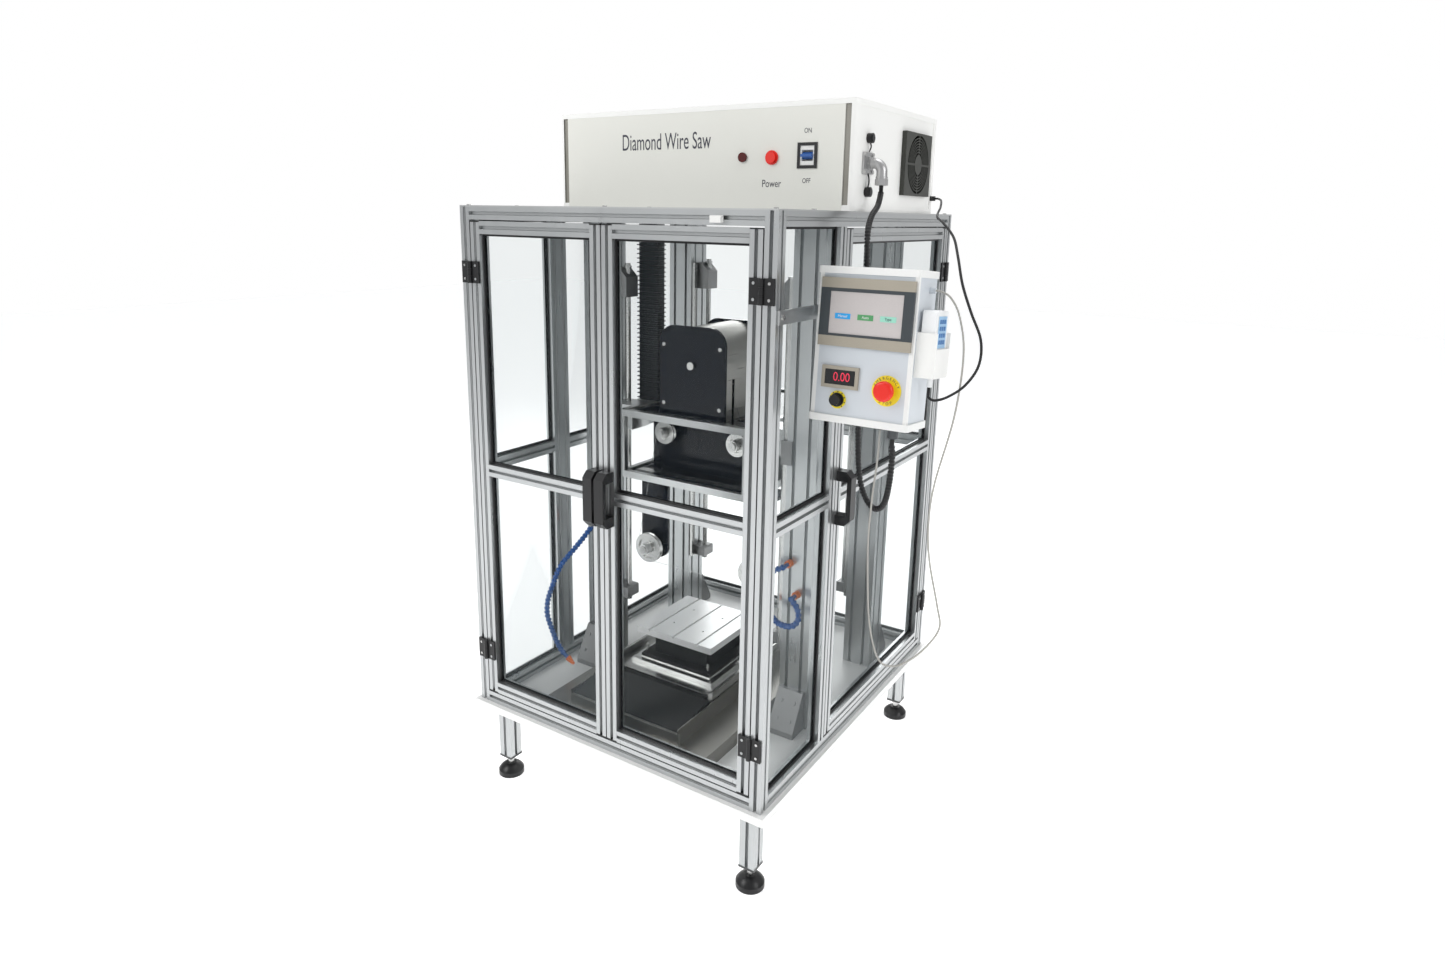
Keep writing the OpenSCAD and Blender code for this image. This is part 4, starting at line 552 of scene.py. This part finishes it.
def capStrap(name, low, high, bow):
    run = []
    for k in range(strapLine["steps"] + 1):
        part = k / strapLine["steps"]
        swell = math.sin(math.pi * part)
        run.append(spot(elbow["wall"] + strapLine["out"] + abs(bow) * swell, elbow["y"] + bow * swell,
                        low + (high - low) * part))
    return tube(name, run, strapLine["r"] * mm, [1.0] * len(run), "blackPlastic")


elbowParts = [elbowPipe(), elbowBody(), elbowCaps()]
elbowParts += [capStrap(name, *facts) for name, facts in straps.items()]
for part in elbowParts:
    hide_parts("elbow_fitting")
    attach(part, "cabinet")
print("elbow made")

# finishes of the CAD nodes, and the parts of a node that have another one: low corner, high corner, look
areas = {
    "legEnds": ((-99, -99, -181), (999, 1099, -174), "blackPlastic"),
    "footStuds": ((-99, -99, -202.5), (999, 1099, 0), "steel"),
    "bedFront": ((250, 60, 37.9), (620, 70.1, 70), "frontPlate"),
    "pulleyHubs": ((0, 300, 0), (870, 387, 1290), "tableTop"),
    "plateScrews": ((300, 340, 740), (570, 349.9, 1100), "steel"),
    "armFronts": ((200, 350, 330), (670, 375, 752), "steel"),
    "lowPlates": ((290, 250, 80), (580, 540, 98.6), "steel"),
    "leftScrews": ((290, 250, 108.1), (345, 540, 140), "steel"),
    "rightScrews": ((525, 250, 108.1), (580, 540, 140), "steel"),
    # painted shade: dark strips in the corner grooves either side of the case's front panel
    "leftGrooveShade": ((21.9, 344, 1306), (36.1, 348.6, 1519.2), "grooveShade"),
    "rightGrooveShade": ((833.9, 344, 1306), (848.1, 348.6, 1519.2), "grooveShade"),
    "lamp": ((560, 300, 1300), (600, 400, 1500), "lampRed"),
    "buttonRing": ((630, 300, 1300), (680, 400, 1500), "red"),
    "breakerFace": ((727, 343.5, 1300), (764, 400, 1500), "trimWhite"),
    "railClip": ((700, -30, 1200), (760, 0, 1290), "trimWhite"),
}


def area(*names):
    return [(tuple(spot(*areas[name][0])), tuple(spot(*areas[name][1])), areas[name][2]) for name in names]


dress("extrusion", "frame_posts", "frame_rails", "gantry_columns", "left_door_frame", "right_door_frame",
      "side_door_frame", grain=0.1, stretch=(60, 60, 3))
dress("extrusion", "legs", patches=area("legEnds"))
dress("blackPlastic", "levelling_feet", patches=area("footStuds"))
dress("matteBlack", "pane_seals")
dress("whiteBoard", "floor_board")
dress("machined", "roof_plate", "control_bar", "head_frame")
dress("darkBracket", "column_brackets")
dress("stageGrey", "stage_bed", "stage_carriage", grain=0.15, stretch=(300, 12, 300),
      patches=area("bedFront"))
dress("blackPlastic", "hinge_leaves", "left_door_trim", "right_door_trim", "side_door_trim", "speed_knob",
      "fan_rotor")
dress("steel", "guide_rails", "front_screw", "rear_screw", "fasteners", "diamond_wire", "coolant_tray",
      "upper_left_pulley", "upper_right_pulley", "wire_drum")
dress("steel", "lower_left_pulley", "lower_right_pulley", patches=area("pulleyHubs"))
dress("brushed", "drum_cover", grain=0.3, stretch=(400, 6, 400))
dress("tableTop", "work_table")
dress("glossBlack", "head_panels", patches=area("plateScrews", "armFronts"))
dress("matteBlack", "table_block", patches=area("lowPlates", "leftScrews", "rightScrews"))
dress("red", "power_button", "stop_button")
dress("leverBlue", "breaker_lever")
dress("yellow", "dial_plates")
dress("trimWhite", "handset_holder")
dress("handsetWhite", "handset")
dress("panelGrey", "case_front_panel")
# the case shell carries painted shade in its two front corner grooves
dress("caseWhite", "case_shell", patches=area("leftGrooveShade", "rightGrooveShade"))
dress("fanBlack", "fan_guard")
dress("blackPlastic", "panel_fittings", patches=area("lamp", "buttonRing", "breakerFace", "railClip"))
dress(clearPane(), "fixed_panes", "left_door_panes", "right_door_panes", "side_door_panes")
print("finishes set")

# control box: its own measure starts at its lower left front corner and leans back about the bar's height
lean = {"angle": math.radians(4.5), "pivot": spot(905, 206, 1088), "deep": 97, "low": 203}
leaned = Matrix.Rotation(-lean["angle"], 4, "X")
boxPlace = Matrix.Translation(lean["pivot"]) @ leaned
boxAreas = [
    ((-9, -9, -14), (9, 8, 294), "trimWhite"), ((197, -9, -14), (214, 8, 294), "trimWhite"),
    ((-9, -9, 0), (214, 110, -90), "trimWhite"), ((-9, -9, 280), (214, 110, 300), "trimWhite"),
    ((-9, -9, -14), (214, 110, 0.1), "trimWhite"), ((-9, -9, -60), (214, 110, -14.1), "blackPlastic")]
panelAreas = [
    ((0, -9, 138), (205, 9, 158), "beige"), ((0, -9, 252), (205, 9, 273), "beige"),
    ((28, -5.3, 163), (180, 9, 245), "screen"),
    ((15, -9, 50), (105, 9, 104), "beige"), ((28, -3.8, 62), (93, 9, 92), "displayBlack")]
screenKeys = {"names": ((40, "skyButton", "Manual", "trimWhite"), (88, "leafButton", "Auto", "trimWhite"),
                        (135, "mintButton", "Type", "ink")),
              "wide": 33, "low": 192, "high": 203, "front": -5.1, "back": -4.7, "letters": 7,
              "lettersAt": -5.3}
meter = {"words": "0.00", "size": 25, "at": (64, -3.8, 77), "squeeze": 0.85}
stopRing = {"x": 159, "z": 61, "front": -1.6, "r": 25, "size": 8,
            "upper": ("EMERGENCY", 68, -17), "lower": ("STOP", 153, 18)}  # letters, first angle, step
dial = {"at": (58, -1.6, 32), "marks": 9, "first": -140, "step": 35, "half": 1.1, "back": 0.1, "front": 0.15,
        "inner": 14.8, "outer": 17.4}
keypad = {"outer": 239.7, "y": (28.6, 73.4), "z": (149.2, 209.8), "thick": 0.5, "rows": 4, "columns": 3,
          "first": (35, 156.6), "pitch": (12, 13), "key": 8, "sunk": 0.4, "high": 1.4, "soft": 0.3}


def boxMeasure(x, y, z):  # from the box's upright measure, with its pivot as zero
    return Vector((x, y - lean["deep"], z - lean["low"])) * mm


def onBox(x, y, z):
    return boxPlace @ boxMeasure(x, y, z)


def dressBox(look, name, parts):
    patches = [(tuple(boxMeasure(*low)), tuple(boxMeasure(*high)), tone) for low, high, tone in parts]
    dress(look, name, turn=(lean["pivot"], lean["angle"]), patches=patches)


def screenFace():
    keys = screenKeys
    for x, look, words, tone in keys["names"]:
        key = bmesh.new()
        block(key, boxMeasure(x, keys["front"], keys["low"]),
              boxMeasure(x + keys["wide"], keys["back"], keys["high"]), turn=boxPlace)
        piece("screenKey" + words, key, look)
        middle = onBox(x + keys["wide"] / 2, keys["lettersAt"], (keys["low"] + keys["high"]) / 2)
        lettering("screenWord" + words, words, keys["letters"], middle, tone, leaned)
    lettering("meterDigits", meter["words"], meter["size"], onBox(*meter["at"]), "digitRed", leaned,
              squeeze=meter["squeeze"])


def stopLetters(name, words, first, step, flip):
    for i, letter in enumerate(words):
        turn = math.radians(first + step * i)
        middle = onBox(stopRing["x"] - stopRing["r"] * math.sin(turn), stopRing["front"],
                       stopRing["z"] + stopRing["r"] * math.cos(turn))
        upright = Matrix.Rotation(flip - turn, 4, "Y")
        lettering(f"{name}{i}", letter, stopRing["size"], middle, "ink", leaned @ upright)


def dialTicks():
    ticks = bmesh.new()
    for i in range(dial["marks"]):
        turn = Matrix.Rotation(math.radians(dial["first"] + dial["step"] * i), 4, "Y")
        block(ticks, Vector((-dial["half"], -dial["back"], dial["inner"])) * mm,
              Vector((dial["half"], dial["front"], dial["outer"])) * mm,
              turn=Matrix.Translation(onBox(*dial["at"])) @ leaned @ turn)
    piece("dialTicks", ticks, "ink")


def handsetKeys():
    pad, outer = bmesh.new(), keypad["outer"]
    block(pad, boxMeasure(outer, keypad["y"][0], keypad["z"][0]),
          boxMeasure(outer + keypad["thick"], keypad["y"][1], keypad["z"][1]), turn=boxPlace)
    piece("keypad", pad, "keyBlue")
    keys = bmesh.new()
    for row in range(keypad["rows"]):
        for column in range(keypad["columns"]):
            y = keypad["first"][0] + keypad["pitch"][0] * column
            z = keypad["first"][1] + keypad["pitch"][1] * row
            block(keys, boxMeasure(outer + keypad["sunk"], y, z),
                  boxMeasure(outer + keypad["high"], y + keypad["key"], z + keypad["key"]),
                  keypad["soft"] * mm, boxPlace)
    piece("keypadKeys", keys, "keyDark")


dressBox("boxBlue", "control_box", boxAreas)
dressBox("bezel", "touch_panel", panelAreas)
screenFace()
stopLetters("stopLetter", *stopRing["upper"], 0)
stopLetters("stopLower", *stopRing["lower"], math.pi)
dialTicks()
handsetKeys()
print("control box made")

# words on the case: words, size, place, squeeze
caseWords = {
    "caseTitle": ("Diamond Wire Saw", 56, (352, 344.8, 1452), 0.6),
    "powerWord": ("Power", 24, (655, 344.8, 1352), 0.8),
    "onWord": ("ON", 15, (745, 344.8, 1466), 0.8),
    "offWord": ("OFF", 15, (745, 344.8, 1358), 0.8),
}
for name, (words, size, place, squeeze) in caseWords.items():
    lettering(name, words, size, spot(*place), "ink", squeeze=squeeze)
print("case lettered")

# floor, light and background
lamps = {  # place, power, size
    "key": ((-2.2, -3.2, 3.4), 75, 2.2), "side": ((3.6, -0.6, 2.6), 32, 1.6),
    "top": ((0.2, 0.4, 4.2), 45, 2.4), "back": ((-1.5, 3.6, 2.4), 40, 2.0)}
room = {"floor": 14, "tone": (0.93, 0.93, 0.93, 1), "rough": 0.9, "glow": 0.5, "aim": (0, 0, 0.9),
        "bands": 1.7, "bend": 1.5, "dark": (0.09, 0.1, 0.11, 1), "light": (0.95, 0.95, 0.95, 1)}
white = (1, 1, 1, 1)


def paleFloor():
    mesh = bmesh.new()
    bmesh.ops.create_grid(mesh, x_segments=1, y_segments=1, size=room["floor"])
    data = bpy.data.meshes.new("floor")
    mesh.to_mesh(data)
    mesh.free()
    floor = bpy.data.objects.new("floor", data)
    bpy.context.scene.collection.objects.link(floor)
    pale = Shade(bpy.data.materials.new("paleFloor"))
    pale.feed("Base Color", room["tone"])
    pale.feed("Roughness", room["rough"])
    pale.feed("Emission Color", white)
    pale.feed("Emission Strength", room["glow"])
    data.materials.append(pale.made)


def hangLamps():
    for name, (place, power, size) in lamps.items():
        lamp = bpy.data.lights.new(name, "AREA")
        lamp.energy = power
        lamp.size = size
        made = bpy.data.objects.new(name, lamp)
        made.location = place
        made.rotation_euler = (Vector(room["aim"]) - Vector(place)).to_track_quat("-Z", "Y").to_euler()
        bpy.context.scene.collection.objects.link(made)


def paleSky():
    # metal reflects soft bands, and the camera sees plain white
    sky = Shade(bpy.data.worlds.new("paleSky"), "Background")
    where = sky.node("ShaderNodeTexCoord", {}, {}, "Generated")
    wave = sky.node("ShaderNodeTexWave", {"bands_direction": "DIAGONAL"},
                    {"Vector": where, "Scale": room["bands"], "Distortion": room["bend"]}, "Fac")
    ramp = sky.node("ShaderNodeValToRGB", {"stops": (room["dark"], room["light"])}, [wave])
    sight = sky.node("ShaderNodeLightPath", {}, {}, "Is Camera Ray")
    sky.feed("Color", sky.mix(sight, ramp, white))
    sky.feed("Strength", 1.0)
    bpy.context.scene.world = sky.made
    bpy.context.scene.view_settings.view_transform = "Standard"


paleFloor()
hangLamps()
paleSky()
print("studio lit")
